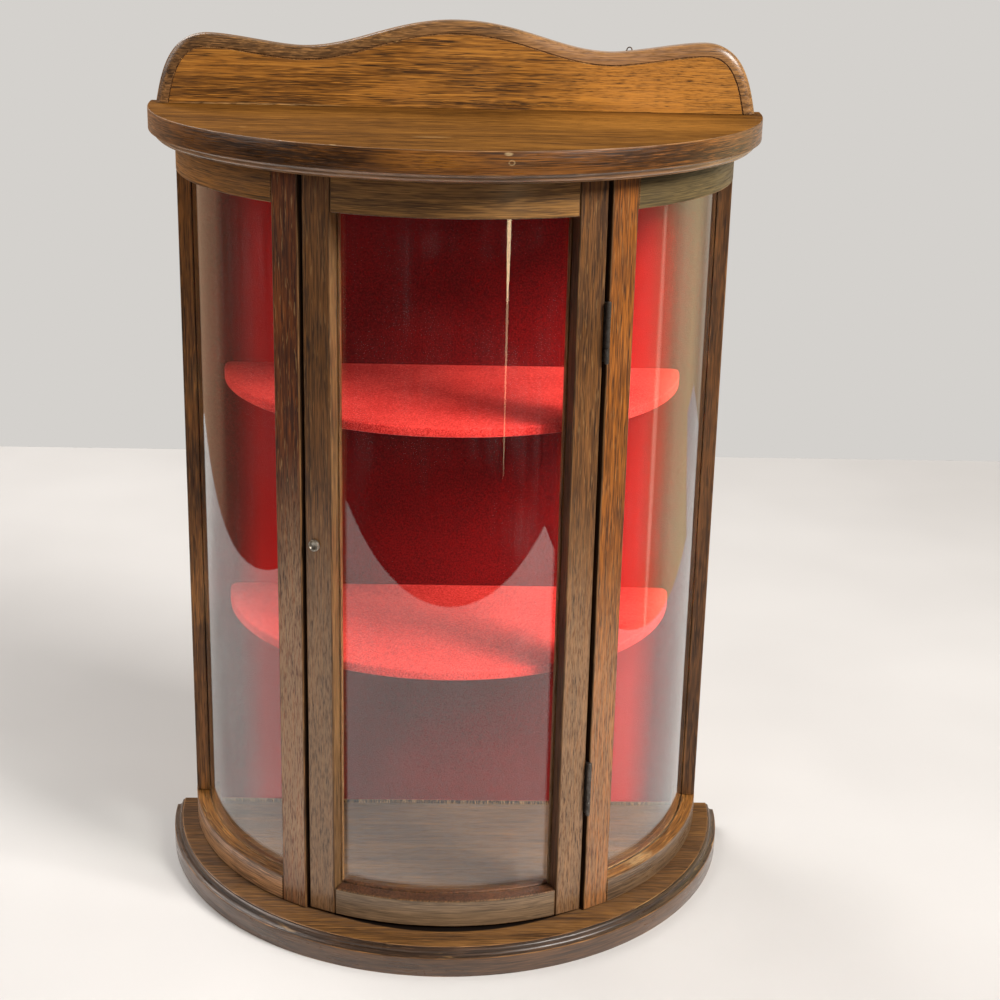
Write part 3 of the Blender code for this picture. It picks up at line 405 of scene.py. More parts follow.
def oak(name, shades, axis, pores=0.7, fine=1.0, rough=0.42, coat=0.05, shine=0.35, flecks=0.0, worn=0.0, marks=(),
        shade=None):
    """Varnished oak: broad patches, growth bands, fine streaks, dark pores along the grain, and wear.
    shades are its light, middle and dark screen colours. pores and flecks say how strongly those show, fine scales
    the grain across its length, and worn is the share rubbed raw. marks are (place, radii, colour, strength, hollow
    share), and shade gives the share painted dark as shadow."""
    light, middle, dark = [srgb(*color) for color in shades]
    nodes = Finish(name)
    grain, place = grain_place(nodes, axis)

    def lines(along, across, detail, distortion):
        stretch = (along, fine * across, fine * across)
        return nodes.noise(grain, stretch, detail, GRAIN_ROUGHNESS, distortion)

    patches, bands, streaks = lines(*PATCHES), lines(*BANDS), lines(*STREAKS)
    pore_lines, fibres = lines(*PORES), lines(*FIBRES)
    tone = nodes.weighted((patches, 0.34), (bands, 0.28), (streaks, 0.38))
    color = nodes.ramp(tone, [(0.41, dark), (0.5, middle), (0.59, light)])
    hollow = nodes.between(pore_lines, 0.54, 0.66)
    color = nodes.mix(nodes.times(hollow, pores), color, scaled(dark, 0.25))
    color = nodes.mix(nodes.between(fibres, 0.56, 0.70, 0.0, 0.6), color, scaled(light, 1.35))
    if flecks:
        color = nodes.mix(nodes.between(lines(*FLECKS), 0.60, 0.68, 0.0, flecks), color, RAW_OAK)
    if worn:
        rubbed = nodes.noise(grain, RUBBED, 4.0, 0.65)
        raw = nodes.between(rubbed, 0.68 - 0.2 * worn, 0.80 - 0.2 * worn, 0.0, 0.75)
        color = nodes.mix(raw, color, RAW_OAK)
    broken = nodes.noise(grain, BROKEN, 3.0, 0.6)
    for at, radii, tint, strength, hollow_share in marks:
        inside = nodes.spot(place, at, radii, hollow_share)
        share = nodes.times(inside, nodes.between(broken, 0.36, 0.54, 0.0, strength))
        color = nodes.mix(share, color, tint)
    # Painted shadow: the share from shade is mixed towards the shadow's dark colour
    if shade:
        color = nodes.mix(shade(nodes, place), color, SHADED_OAK)
    wear = nodes.between(nodes.noise(place, 26.0, 3.0), 0.4, 0.7, -0.05, 0.08)
    dull = nodes.math("ADD", nodes.between(pore_lines, 0.4, 0.65, rough, rough + 0.16), wear)
    height = nodes.math("SUBTRACT", nodes.times(streaks, 0.5), hollow)
    nodes.set(Base_Color=color, Roughness=dull, Normal=nodes.bump(height, 0.22, 0.0003))
    nodes.set(Coat_Weight=coat, Coat_Roughness=0.26, Specular_IOR_Level=shine)
    return nodes.material


# Painted shadow on the base: its front edge is a circle about a point ahead of the walls' axis, and its back edge
# fades in from just behind the door's face
STRIP_SHIFT = 0.0445
STRIP_RADIUS = 0.150
STRIP_FADE = 0.0012
STRIP_START, STRIP_FULL = 0.006, 0.003


def painted_door_shadow(nodes, place):
    """1 on the strip of the base just in front of the door's middle, which is painted dark as the shadow under the
    door.
    """
    level = nodes.vector("MULTIPLY", place, (1.0, 1.0, 0.0))

    def distance(y):
        return nodes.add("VectorMath", {0: level, 1: (0.0, y, 0.0)}, operation="DISTANCE").outputs["Value"]

    before = nodes.between(distance(CENTRE_Y - STRIP_SHIFT), STRIP_RADIUS, STRIP_RADIUS - STRIP_FADE)
    behind = nodes.between(distance(CENTRE_Y), DOOR_RADIUS - STRIP_START, DOOR_RADIUS - STRIP_FULL)
    return nodes.times(before, behind)


# Painted light on the sides of the lining: from where to where they pale, how much, and where the paler part ends
PAINTED_LIGHT_START, PAINTED_LIGHT_FULL, PAINTED_LIGHT_SHARE = 0.075, 0.115, 0.7
PAINTED_LIGHT_LAST, PAINTED_LIGHT_END = 0.138, 0.157


def felt(name, lit, deep, painted_lit_sides=None):
    """Wool felt: matted fibres, faint rubbed patches, a soft sheen, and, when a paler colour is given, sides painted
    paler as light from the side glass.
    """
    nodes = Finish(name)
    place = nodes.place()
    fibres = nodes.noise(place, 1700.0, 2.0, 0.7)
    matting = nodes.noise(place, 760.0, 3.0, 0.7)
    patches = nodes.noise(place, 18.0, 3.0)
    tone = nodes.weighted((fibres, 0.5), (matting, 0.35), (patches, 0.15))
    color = nodes.ramp(tone, [(0.43, deep), (0.57, lit)])
    # Painted light: the sides are paler where light comes in through the side glass
    if painted_lit_sides:
        across = nodes.math("ABSOLUTE", nodes.add("SeparateXYZ", {0: place}).outputs[0])
        paler = nodes.between(across, PAINTED_LIGHT_START, PAINTED_LIGHT_FULL, 0.0, PAINTED_LIGHT_SHARE)
        zone = nodes.times(paler, nodes.between(across, PAINTED_LIGHT_END, PAINTED_LIGHT_LAST))
        color = nodes.mix(zone, color, painted_lit_sides)
    height = nodes.math("ADD", fibres, nodes.times(matting, 0.6))
    nodes.set(Base_Color=color, Roughness=0.95, Normal=nodes.bump(height, 0.6, 0.0004))
    nodes.set(Sheen_Weight=0.2, Sheen_Roughness=0.4, Sheen_Tint=srgb(255, 96, 84), Specular_IOR_Level=0.1)
    return nodes.material


def clear_glass(name):
    """Clear glass with a little dust and faint upright smears, which lets lamp light through."""
    nodes = Finish(name)
    place = nodes.place()
    smears = nodes.between(nodes.noise(place, (160.0, 160.0, 5.0), 4.0, 0.6), 0.42, 0.72)
    clouds = nodes.noise(place, (11.0, 11.0, 9.0), 3.0)
    haze = nodes.times(smears, nodes.between(clouds, 0.45, 0.65, 0.0, 0.02))
    cells = nodes.add("TexVoronoi", {"Vector": place, "Scale": 330.0}).outputs["Distance"]
    dots = nodes.between(cells, 0.10, 0.05)
    specks = nodes.times(dots, nodes.between(clouds, 0.48, 0.62, 0.0, 0.22))
    dust = nodes.math("ADD", haze, specks)
    nodes.set(Base_Color=srgb(250, 251, 250), IOR=1.65, Roughness=0.0)
    nodes.set(Transmission_Weight=nodes.math("SUBTRACT", 1.0, dust))
    clear = nodes.add("BsdfTransparent", {"Color": srgb(248, 250, 249)})
    lamp_ray = nodes.add("LightPath", {}).outputs["Is Shadow Ray"]
    both = nodes.add("MixShader", {0: lamp_ray, 1: nodes.shader.outputs[0], 2: clear.outputs[0]})
    nodes.put(nodes.tree.nodes["Material Output"].inputs["Surface"], both.outputs[0])
    return nodes.material


def metal(name, bright, dull, roughness):
    """Old metal: bright where it is rubbed, brown and rough where it has tarnished."""
    nodes = Finish(name)
    place = nodes.place()
    tarnish = nodes.noise(place, (420.0, 420.0, 260.0), 4.0, 0.6)
    scratches = nodes.noise(place, (2500.0, 2500.0, 260.0), 2.0)
    color = nodes.ramp(tarnish, [(0.36, bright), (0.64, dull)])
    nodes.set(Base_Color=color, Metallic=0.85, Normal=nodes.bump(scratches, 0.08, 0.00005))
    nodes.set(Roughness=nodes.between(tarnish, 0.35, 0.7, roughness, roughness + 0.2))
    return nodes.material


def plastic(name, color, worn):
    """Moulded plastic with fine scuffs."""
    nodes = Finish(name)
    scuffs = nodes.noise(nodes.place(), 700.0, 4.0, 0.6)
    nodes.set(Base_Color=nodes.ramp(scuffs, [(0.4, color), (0.7, worn)]), Roughness=0.5)
    nodes.set(Normal=nodes.bump(scuffs, 0.15, 0.0001))
    return nodes.material


def marks_on(find, surface, *rows):
    """Marks in the varnish of a surface, from rows of photograph pixel, radii, colour, strength and, for a ring,
    hollow share."""
    return [(find(*pixel, *surface), radii, tint, strength, hollow[0] if hollow else 0)
            for pixel, radii, tint, strength, *hollow in rows]


CREST_FACE = ((0.0, CREST_FRONT, 0.0), FRONT)
TOP_FACE = ((0.0, 0.0, TOP_HIGH.z), UP)
LEDGE_FACE = ((0.0, 0.0, LEDGE_TOP), UP)
BAND_FACE = (BOARD_RADIUS, BACK_Y)
POST_FACE = (CARCASS_RADIUS, CENTRE_Y)
DOOR_FACE = (DOOR_RADIUS, CENTRE_Y)
MARKS = {
    "crest_oak": marks_on(
        seen_on_flat, CREST_FACE,
        ((258, 104), (0.068, 0.002, 0.001), RAW_OAK, 0.6),
        ((625, 108), (0.066, 0.002, 0.0034), HONEY, 0.6),
        ((530, 105), (0.11, 0.002, 0.0022), DARK_STAIN_AND_SHADE, 0.6),
        ((484, 35), (0.0004, 0.002, 0.0036), RAW_OAK, 0.7),
        ((215, 66), (0.03, 0.002, 0.008), HONEY, 0.35),
        ((398, 90), (0.024, 0.002, 0.006), HONEY, 0.35),
        ((660, 82), (0.085, 0.002, 0.03), PALE_HONEY, 0.55),
    ),
    # The crest's bead is painted darker as shade at its left end, and with a pale pink painted highlight on its right
    # half
    "crest_bead": marks_on(
        seen_on_flat, CREST_FACE,
        ((290, 50), (0.13, 0.02, 0.03), DARK_STAIN_AND_SHADE, 0.65),
        ((620, 56), (0.08, 0.02, 0.03), PAINTED_PINK_HIGHLIGHT, 0.25),
    ),
    "top_oak": marks_on(
        seen_on_flat, TOP_FACE,
        ((332, 145), (0.003, 0.0022, 0.003), PALE_CHIP, 0.9),
        ((190, 127), (0.0022, 0.003, 0.003), PALE_CHIP, 0.9),
        ((430, 107), (0.22, 0.01, 0.003), HONEY, 0.45),
        ((640, 122), (0.09, 0.05, 0.003), PALE_HONEY, 0.25),
        ((243, 127), (0.003, 0.002, 0.003), RAW_OAK, 0.5),
        ((432, 137), (0.014, 0.005, 0.003), RAW_OAK, 0.3),
    ),
    "top_band": marks_on(
        seen_on_round, BAND_FACE,
        ((420, 161), (0.045, 0.01, 0.007), HONEY, 0.35),
        ((300, 156), (0.07, 0.05, 0.01), DARK_STAIN_AND_SHADE, 0.7),
        ((512, 163), (0.0022, 0.01, 0.0018), PALE_CHIP, 0.3, 0.5),
        ((509, 154), (0.003, 0.01, 0.0014), PALE_CHIP, 0.55),
        ((660, 156), (0.06, 0.05, 0.01), DARK_STAIN_AND_SHADE, 0.6),
    ),
    "ledge_oak": marks_on(
        seen_on_flat, LEDGE_FACE,
        ((640, 859), (0.016, 0.016, 0.004), PALE_CHIP, 0.35),
    ),
    # The posts and door stiles are painted paler in their lower parts
    "left_post_oak": marks_on(
        seen_on_round, POST_FACE,
        ((297, 720), (0.03, 0.03, 0.19), PALE_LOW_TONE, 0.68),
    ),
    "right_post_oak": marks_on(
        seen_on_round, POST_FACE,
        ((600, 780), (0.03, 0.03, 0.17), PALE_LOW_TONE, 0.3),
    ),
    "door_oak": marks_on(
        seen_on_round, DOOR_FACE,
        ((322, 770), (0.03, 0.03, 0.2), PALE_LOW_TONE, 0.44),
        ((566, 770), (0.03, 0.03, 0.2), PALE_LOW_TONE, 0.35),
    ),
    # The floor inside the cabinet is painted greyer, most in its middle
    "base_oak": [((0.0, CENTRE_Y - 0.06, BASE_HIGH.z), (0.21, 0.15, 0.01), INNER_FLOOR_GREY, 0.5, 0)],
    # Painted shade: a dark strip along the foot of the back panel, below the lining
    "back_plywood": [((0.0, FRAME_BACK + 0.001, BASE_HIGH.z), (0.3, 0.002, 0.008), DARK_STAIN_AND_SHADE, 1.0, 0)],
}

# Light, middle and dark screen colours of each oak surface, the run of its grain, and what differs from plain oak
OAK_LOOKS = {
    "crest_oak": ([(190, 128, 52), (149, 96, 37), (94, 58, 22)], "x", dict(pores=0.9, fine=1.6)),
    "top_oak": ([(140, 93, 38), (110, 71, 28), (74, 46, 19)], "x", dict(pores=0.35, rough=0.6, coat=0.0, shine=0.02)),
    # The base's oak carries the painted shadow strip in front of the door
    "base_oak": ([(128, 88, 44), (99, 66, 32), (66, 42, 20)], "x",
                 dict(pores=0.6, fine=1.3, rough=0.5, coat=0.0, shine=0.15, shade=painted_door_shadow)),
    "top_band": ([(136, 84, 35), (96, 58, 25), (52, 31, 14)], "arc", dict(pores=0.6, fine=1.4, rough=0.3, coat=0.4)),
    "base_band": ([(98, 66, 38), (80, 53, 31), (60, 39, 22)], "arc",
                  dict(pores=0.3, fine=0.9, rough=0.3, coat=0.9, shine=0.5)),
    # The top's bead has a paler colour as a painted reflection of the pale table, beside its real glossy coat
    "top_bead": ([(176, 130, 92), (140, 103, 72), (96, 70, 49)], "arc", dict(pores=0.4, fine=0.9, rough=0.3, coat=0.9)),
    "bead_oak": ([(82, 58, 40), (62, 44, 31), (42, 30, 21)], "arc",
                 dict(pores=0.4, fine=0.9, rough=0.3, coat=0.4, worn=0.3)),
    "crest_bead": ([(164, 118, 70), (128, 90, 52), (80, 55, 33)], "x",
                   dict(pores=0.5, fine=1.3, rough=0.3, coat=0.5, shine=0.3, worn=0.1)),
    "arris_oak": ([(150, 106, 62), (112, 76, 42), (74, 48, 26)], "arc", dict(pores=0.5, fine=0.9, worn=0.45)),
    # The outer rails' paler, less saturated tones partly paint the pale table's reflection in their varnish, beside
    # their real glossy coat
    "left_rail_oak": ([(200, 146, 98), (160, 115, 77), (110, 78, 52)], "arc",
                      dict(pores=0.6, fine=0.9, rough=0.3, coat=1.0)),
    "right_rail_oak": ([(122, 96, 70), (98, 76, 55), (68, 52, 38)], "arc",
                       dict(pores=0.5, fine=0.9, rough=0.3, coat=1.0)),
    "ledge_oak": ([(152, 100, 46), (120, 77, 34), (84, 52, 23)], "arc",
                  dict(pores=0.6, fine=0.9, rough=0.5, coat=0.0, shine=0.2, flecks=0.3)),
    "left_apron_oak": ([(158, 104, 47), (118, 78, 36), (72, 47, 21)], "arc", dict(pores=0.45, fine=1.5)),
    "right_apron_oak": ([(106, 88, 55), (82, 68, 42), (53, 43, 27)], "arc", dict(pores=0.4, fine=1.5)),
    "left_post_oak": ([(140, 74, 25), (104, 52, 16), (64, 29, 8)], "z",
                      dict(pores=0.75, fine=1.25, coat=0.8, flecks=0.45)),
    "right_post_oak": ([(166, 97, 33), (126, 72, 23), (82, 44, 14)], "z",
                       dict(pores=0.8, fine=1.25, coat=0.8, flecks=0.2)),
    "post_edge": ([(140, 98, 58), (100, 68, 38), (62, 41, 24)], "z", dict(pores=0.5, worn=0.3)),
    "left_rear_oak": ([(154, 98, 46), (118, 74, 34), (78, 48, 22)], "z", dict(pores=0.6)),
    "right_rear_oak": ([(108, 70, 37), (82, 52, 28), (54, 34, 19)], "z", dict(pores=0.6)),
    "door_oak": ([(128, 82, 39), (97, 61, 27), (64, 38, 16)], "z", dict(fine=1.25, coat=0.8, flecks=0.2)),
    "door_edge": ([(128, 90, 54), (98, 68, 40), (64, 43, 25)], "z", dict(pores=0.5, worn=0.05)),
    "door_rail_oak": ([(168, 121, 64), (134, 94, 48), (92, 62, 31)], "arc", dict(pores=0.5, fine=1.5, coat=0.8)),
    # The door's bottom rail is greyed partly as a painted reflection of the pale table, beside its real glossy coat
    "low_rail_oak": ([(140, 113, 84), (122, 98, 72), (98, 78, 57)], "arc", dict(pores=0.35, fine=1.5, coat=0.9)),
    # The reveal oaks on the recessed faces beside and under the glass are darker as painted shade, the left stile's
    # less so
    "left_reveal_oak": ([(134, 98, 58), (106, 76, 44), (74, 51, 29)], "z", dict(pores=0.5)),
    "reveal_oak": ([(100, 62, 36), (78, 47, 28), (54, 32, 19)], "z", dict(pores=0.5)),
    # Darker oak on the faces in the gaps beside the door: a dark stain that also paints the shade between the parts
    "gap_oak": ([(72, 48, 29), (54, 36, 22), (36, 24, 15)], "z", dict(pores=0.3, rough=0.8, coat=0.0, shine=0.1)),
    "back_plywood": ([(184, 143, 98), (168, 128, 84), (146, 108, 68)], "z",
                     dict(pores=0.3, fine=0.5, rough=0.7, coat=0.0, shine=0.2)),
    "shelf_wood": ([(176, 132, 86), (148, 104, 62), (110, 74, 42)], "x",
                   dict(pores=0.4, fine=0.6, rough=0.7, coat=0.0, shine=0.2)),
}
OAK = {name: oak(name, shades, axis, marks=MARKS.get(name, ()), **look)
       for name, (shades, axis, look) in OAK_LOOKS.items()}
SHELF_FELT = felt("shelf_felt", srgb(234, 70, 62), srgb(164, 10, 12))
# The lining's felt is much darker than the shelves' felt, as painted shade behind the shelves and under the top, and
# its paler third colour paints the light on its sides
LINING_FELT = felt("lining_felt", srgb(124, 11, 12), srgb(80, 4, 6), srgb(204, 30, 27))
FELT_EDGE = felt("felt_edge", srgb(236, 120, 116), srgb(190, 50, 54))
GLASS = clear_glass("clear_glass")
DARK_METAL = metal("dark_metal", srgb(104, 99, 95), srgb(76, 70, 65), 0.40)
WIRE_METAL = metal("wire_metal", srgb(110, 84, 62), srgb(60, 44, 32), 0.4)
SCREW_METAL = metal("screw_metal", srgb(190, 184, 172), srgb(120, 106, 88), 0.3)
CATCH_PLASTIC = plastic("catch_plastic", srgb(70, 52, 38), srgb(96, 76, 58))


def woods(*names):
    return [OAK[name] for name in names]


def polar(radius, angle):
    """Plan point on the curved walls, with the angle counted from the front towards the right."""
    return radius * sin(angle), CENTRE_Y - radius * cos(angle)


def on_flat(distance, angle, middle):
    """Plan point at this angle on the flat that faces the angle called middle."""
    return polar(distance / cos(angle - middle), angle)


def turns(start, end, step=ARC_STEP):
    steps = max(2, round(abs(end - start) / step))
    return [start + (end - start) * i / steps for i in range(steps + 1)]


def quarter_turns(steps=EDGE_STEPS):
    return [pi / 2 * i / steps for i in range(steps + 1)]


def heights(node):
    low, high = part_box(node)
    return low.z, high.z


def mesh_of(points, faces, slots=None):
    """Mesh with outward smooth faces; slots gives each face's material."""
    mesh = bpy.data.meshes.new("shape")
    mesh.from_pydata(points, [], faces)
    if slots:
        mesh.polygons.foreach_set("material_index", slots)
    mesh.polygons.foreach_set("use_smooth", [True] * len(mesh.polygons))
    bm = bmesh.new()
    bm.from_mesh(mesh)
    bmesh.ops.recalc_face_normals(bm, faces=bm.faces)
    bm.to_mesh(mesh)
    bm.free()
    return mesh


def show(name, data):
    """New object in the scene."""
    made = bpy.data.objects.new(name, data)
    bpy.context.scene.collection.objects.link(made)
    return made


def dress(node, mesh, materials, ease=0.0, other_faces=None):
    """Shows a finer piece in place of a CAD node, with its sharp edges eased. Eased edges have the second material
    where there is one, and other_faces gives further materials' numbers with the test for their faces."""
    for number, chosen in (other_faces or {}).items():
        paint(mesh, number, chosen)
    mesh.name = node
    piece = show(node + "_shown", mesh)
    for material in materials:
        mesh.materials.append(material)
    if ease:
        bevel = piece.modifiers.new("eased_edges", "BEVEL")
        bevel.width = ease
        bevel.segments = EASE_SEGMENTS
        bevel.limit_method = "ANGLE"
        bevel.angle_limit = SMOOTH_LIMIT
        bevel.harden_normals = True
        bevel.material = 1 if len(materials) > 1 else -1
    else:
        mesh.set_sharp_from_angle(angle=SMOOTH_LIMIT)
    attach(piece, body_of(frame["nodes"][node])[0])
    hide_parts(node)
    return piece


def paint(mesh, number, chosen):
    """Gives the faces that the test picks, by their middle and normal, another material."""
    for face in mesh.polygons:
        if chosen(face.center, face.normal):
            face.material_index = number


def faces_gap(angle):
    """Test for the upright faces that lie on the plane at this angle on either side of the middle."""
    return lambda middle, normal: abs(atan2(abs(middle.x), CENTRE_Y - middle.y) - angle) < radians(0.1)


def faces_up(middle, normal):
    return normal.z > 0.9


def faces_down(middle, normal):
    return normal.z < -0.5


def outside_glass(middle, normal):
    """Test for the ledge of a bottom rail in front of its glass."""
    radius = sqrt(middle.x**2 + (CENTRE_Y - middle.y) ** 2)
    return faces_up(middle, normal) and radius > SIDE_GLASS_OUTER


def strips(rows, count, first=0, closed=True, ring=False):
    """Quads between neighbouring rows of count points each. closed joins the ends of each row, and ring joins the
    last row to the first."""
    faces = []
    for i in range(rows if ring else rows - 1):
        near, far = first + i * count, first + (i + 1) % rows * count
        for j in range(count if closed else count - 1):
            k = (j + 1) % count
            faces.append((near + j, near + k, far + k, far + j))
    return faces


def capped(rows, count, first=0):
    """Faces of a closed body: strips between its rows of points, and a cap on the first and on the last row."""
    last = first + (rows - 1) * count
    caps = [tuple(reversed(range(first, first + count))), tuple(range(last, last + count))]
    return strips(rows, count, first) + caps


def swept(profile, start, end, step=ARC_STEP):
    """Closed body of the curved walls between two angles, from (radius, height) points counterclockwise."""
    stations = turns(start, end, step)
    points = [(*polar(r, t), z) for t in stations for r, z in profile]
    return mesh_of(points, capped(len(stations), len(profile)))


def prism(outline, low, high):
    """Closed upright body over a counterclockwise plan outline."""
    points = [(x, y, z) for z in (low, high) for x, y in outline]
    return mesh_of(points, capped(2, len(outline)))


def mirrored(outline, sign):
    """Plan outline for the right side as it is, or mirrored and still counterclockwise for the left."""
    return outline if sign > 0 else [(-x, y) for x, y in reversed(outline)]


def half_round(outline, back_y, profile):
    """Half-round body. Each (inset, height, material slot) of the profile follows the outline at that inset,
    from the middle of the underside round the edge to the middle of the top."""
    reach = max(x for x, y in outline)
    rows, count = len(outline), len(profile)
    points = []
    for x, y in outline:
        for inset, z, slot in profile:
            share = 1 - inset / reach
            points.append((x * share, back_y + (y - back_y) * share, z))
    under, over = len(points), len(points) + 1
    points += [(0.0, back_y, profile[0][1]), (0.0, back_y, profile[-1][1])]
    faces = strips(rows, count, closed=False)
    slots = [slot for inset, z, slot in profile[1:]] * (rows - 1)
    for near in range(0, under - count, count):
        far = near + count
        faces += [(under, far, near), (over, far - 1, far + count - 1)]
        slots += [profile[0][2], profile[-1][2]]
    faces.append((under, *range(count), over, *reversed(range(under - count, under))))
    slots.append(profile[1][2])
    return mesh_of(points, faces, slots)


def board_outline(depth):
    return [(BOARD_RADIUS * sin(t), BACK_Y - depth * cos(t)) for t in turns(-pi / 2, pi / 2)]


def moulded_profile(thickness):
    """Board edge from the plain side to the moulded side, as (inset, height, slot): 0 flat, 1 band, 2 bead, 3 arris."""
    face = thickness - EDGE_COVE - EDGE_BEAD - EDGE_FILLET
    bead_middle = EDGE_SHOULDER + EDGE_COVE + EDGE_BEAD
    plain_side = [(5 * EDGE_EASE, 0.0, 0), (EDGE_EASE, 0.0, 0), (EDGE_ROUND, EDGE_ROUND, 3), (0.0, EDGE_EASE, 3)]
    band = [(0.0, face - EDGE_EASE, 1), (EDGE_ROUND, face - EDGE_ROUND, 3), (EDGE_EASE, face, 3)]
    cove = [(EDGE_SHOULDER + EDGE_COVE * sin(turn), face + EDGE_COVE * (1 - cos(turn)), 2)
            for turn in quarter_turns()]
    bead = [(bead_middle - EDGE_BEAD * cos(turn), face + EDGE_COVE + EDGE_BEAD * sin(turn), 2)
            for turn in quarter_turns()[1:]]
    fillet = [(bead_middle, thickness - 2 * EDGE_ROUND, 2), (bead_middle + EDGE_EASE, thickness, 3)]
    return plain_side + band + cove + bead + fillet + [(bead_middle + 4 * EDGE_EASE, thickness, 0)]


def make_boards():
    base = half_round(board_outline(BASE_DEPTH), BACK_Y, moulded_profile(BASE_HIGH.z))
    dress("base_board", base, woods("base_oak", "base_band", "bead_oak", "arris_oak"))
    edge = list(reversed(moulded_profile(TOP_HIGH.z - TOP_LOW.z)))
    top_profile = []
    for j, (inset, height, slot) in enumerate(edge):
        top_profile.append((inset, TOP_HIGH.z - height, edge[max(j - 1, 0)][2]))
    top = half_round(board_outline(TOP_DEPTH), BACK_Y, top_profile)
    dress("top_board", top, woods("top_oak", "top_band", "top_bead", "arris_oak"))


def crest_line():
    """Scalloped outline from the left foot to the right foot, as (x, z) above the crest's foot."""
    ear = CREST_END - CREST_EAR_FROM_END
    saddle = CREST_END - CREST_SADDLE_FROM_END
    knots = [
        ((0, CREST_PEAK), (CREST_PEAK_REACH, CREST_PEAK)),
        ((saddle - CREST_SADDLE_REACH, CREST_SADDLE), (saddle, CREST_SADDLE)),
        ((saddle, CREST_SADDLE), (saddle + CREST_DIP_REACH, CREST_SADDLE)),
        ((ear - CREST_DIP_REACH, CREST_EAR), (ear, CREST_EAR)),
        ((ear, CREST_EAR), (ear + CREST_EAR_REACH, CREST_EAR)),
        ((CREST_END - CREST_END_LEAN, CREST_END_RISE), (CREST_END, 0.0)),
    ]
    right = []
    for (start, after), (before, end) in zip(knots[0::2], knots[1::2]):
        corners = [Vector((x, z, 0.0)) for x, z in (start, after, before, end)]
        stretch = interpolate_bezier(*corners, 30)
        right += [(p.x, p.y) for p in (stretch if not right else stretch[1:])]
    left = [(-x, z) for x, z in reversed(right[1:])]
    return left + right


def crest_section():
    """Crest's edge from the back over the bead to the quirk, as (inset, depth, slot): 0 face, 1 bead, 2 arris."""
    back = [(EDGE_EASE, CREST_BACK, 0), (0.0, CREST_BACK - EDGE_EASE, 2)]
    bead = [(CREST_BEAD_WIDTH * (1 - cos(turn)), CREST_FRONT + CREST_ROUNDING * (1 - sin(turn)), 1)
            for turn in quarter_turns()]
    quirk = [(CREST_BEAD_WIDTH + share * QUIRK_WIDTH, CREST_FRONT + QUIRK_DEPTH, 2) for share in (0.3, 0.7)]
    return back + bead + quirk + [(CREST_BEAD_WIDTH + QUIRK_WIDTH, CREST_FRONT, 2)]


def make_crest():
    """Crest rail with a rounded bead along its edge and a fine quirk inside it."""
    line = [Vector(point) for point in crest_line()]
    rows = len(line)
    outward = []
    for i in range(rows):
        along = line[min(i + 1, rows - 1)] - line[max(i - 1, 0)]
        outward.append(Vector((-along.y, along.x)).normalized())
    outward[0] = Vector((-1.0, 0.0))
    outward[-1] = Vector((1.0, 0.0))
    section = crest_section()
    count = len(section)
    points = []
    for point, out in zip(line, outward):
        for inset, y, slot in section:
            at = point - out * inset
            points.append((at.x, y, CREST_FOOT + max(at.y, 0.0)))
    back = tuple(i * count for i in range(rows))
    front = tuple(i * count + count - 1 for i in reversed(range(rows)))
    foot = (*reversed(range(count)), *range(len(points) - count, len(points)))
    faces = strips(rows, count, closed=False) + [back, front, foot]
    slots = [slot for inset, y, slot in section[1:]] * (rows - 1) + [0, 0, 0]
    dress("crest_rail", mesh_of(points, faces, slots), woods("crest_oak", "crest_bead", "arris_oak"))


def rear_angle(radius):
    """Angle at which a circle of the curved walls meets the frame's back plane."""
    return acos((CENTRE_Y - FRAME_BACK) / radius)


def rear_x(radius, ahead):
    """Half-width of a circle of the curved walls at a distance in front of the frame's back plane."""
    return sqrt(radius**2 - (CENTRE_Y - FRAME_BACK + ahead) ** 2)


def make_side_rails(side, sign):
    start = POST_OUTER_ANGLE + SEAT_GAP / RAIL_INNER
    span = sorted((sign * start, sign * rear_angle(RAIL_INNER)))
    name = side + "_bottom_rail"
    low, high = heights(name)
    groove = high - GLASS_GROOVE
    profile = [
        (RAIL_INNER, low), (CARCASS_RADIUS, low), (CARCASS_RADIUS, high), (GROOVE_OUTER, high),
        (GROOVE_OUTER, groove), (GROOVE_INNER, groove), (GROOVE_INNER, high), (RAIL_INNER, high),
    ]
    looks = woods(side + "_rail_oak", "arris_oak", "ledge_oak", "reveal_oak")
    dress(name, swept(profile, *span), looks, LOW_RAIL_EASE, {3: faces_up, 2: outside_glass})
    name = side + "_top_rail"
    low, high = heights(name)
    groove = low + LIFT_OUT_GROOVE
    profile = [
        (RAIL_INNER, low), (GROOVE_INNER, low), (GROOVE_INNER, groove), (GROOVE_OUTER, groove),
        (GROOVE_OUTER, low), (CARCASS_RADIUS, low), (CARCASS_RADIUS, high), (RAIL_INNER, high),
    ]
    dress(name, swept(profile, *span), woods(side + "_apron_oak", "arris_oak"), SLIM_EASE)


def make_glass(name, outer, start, end):
    """Bent glass between two angles."""
    low, high = heights(name)
    inner = outer - GLASS_THICKNESS
    profile = [(inner, low), (outer, low), (outer, high), (inner, high)]
    dress(name, swept(profile, start, end, GLASS_STEP), [GLASS], SHEET_EASE)


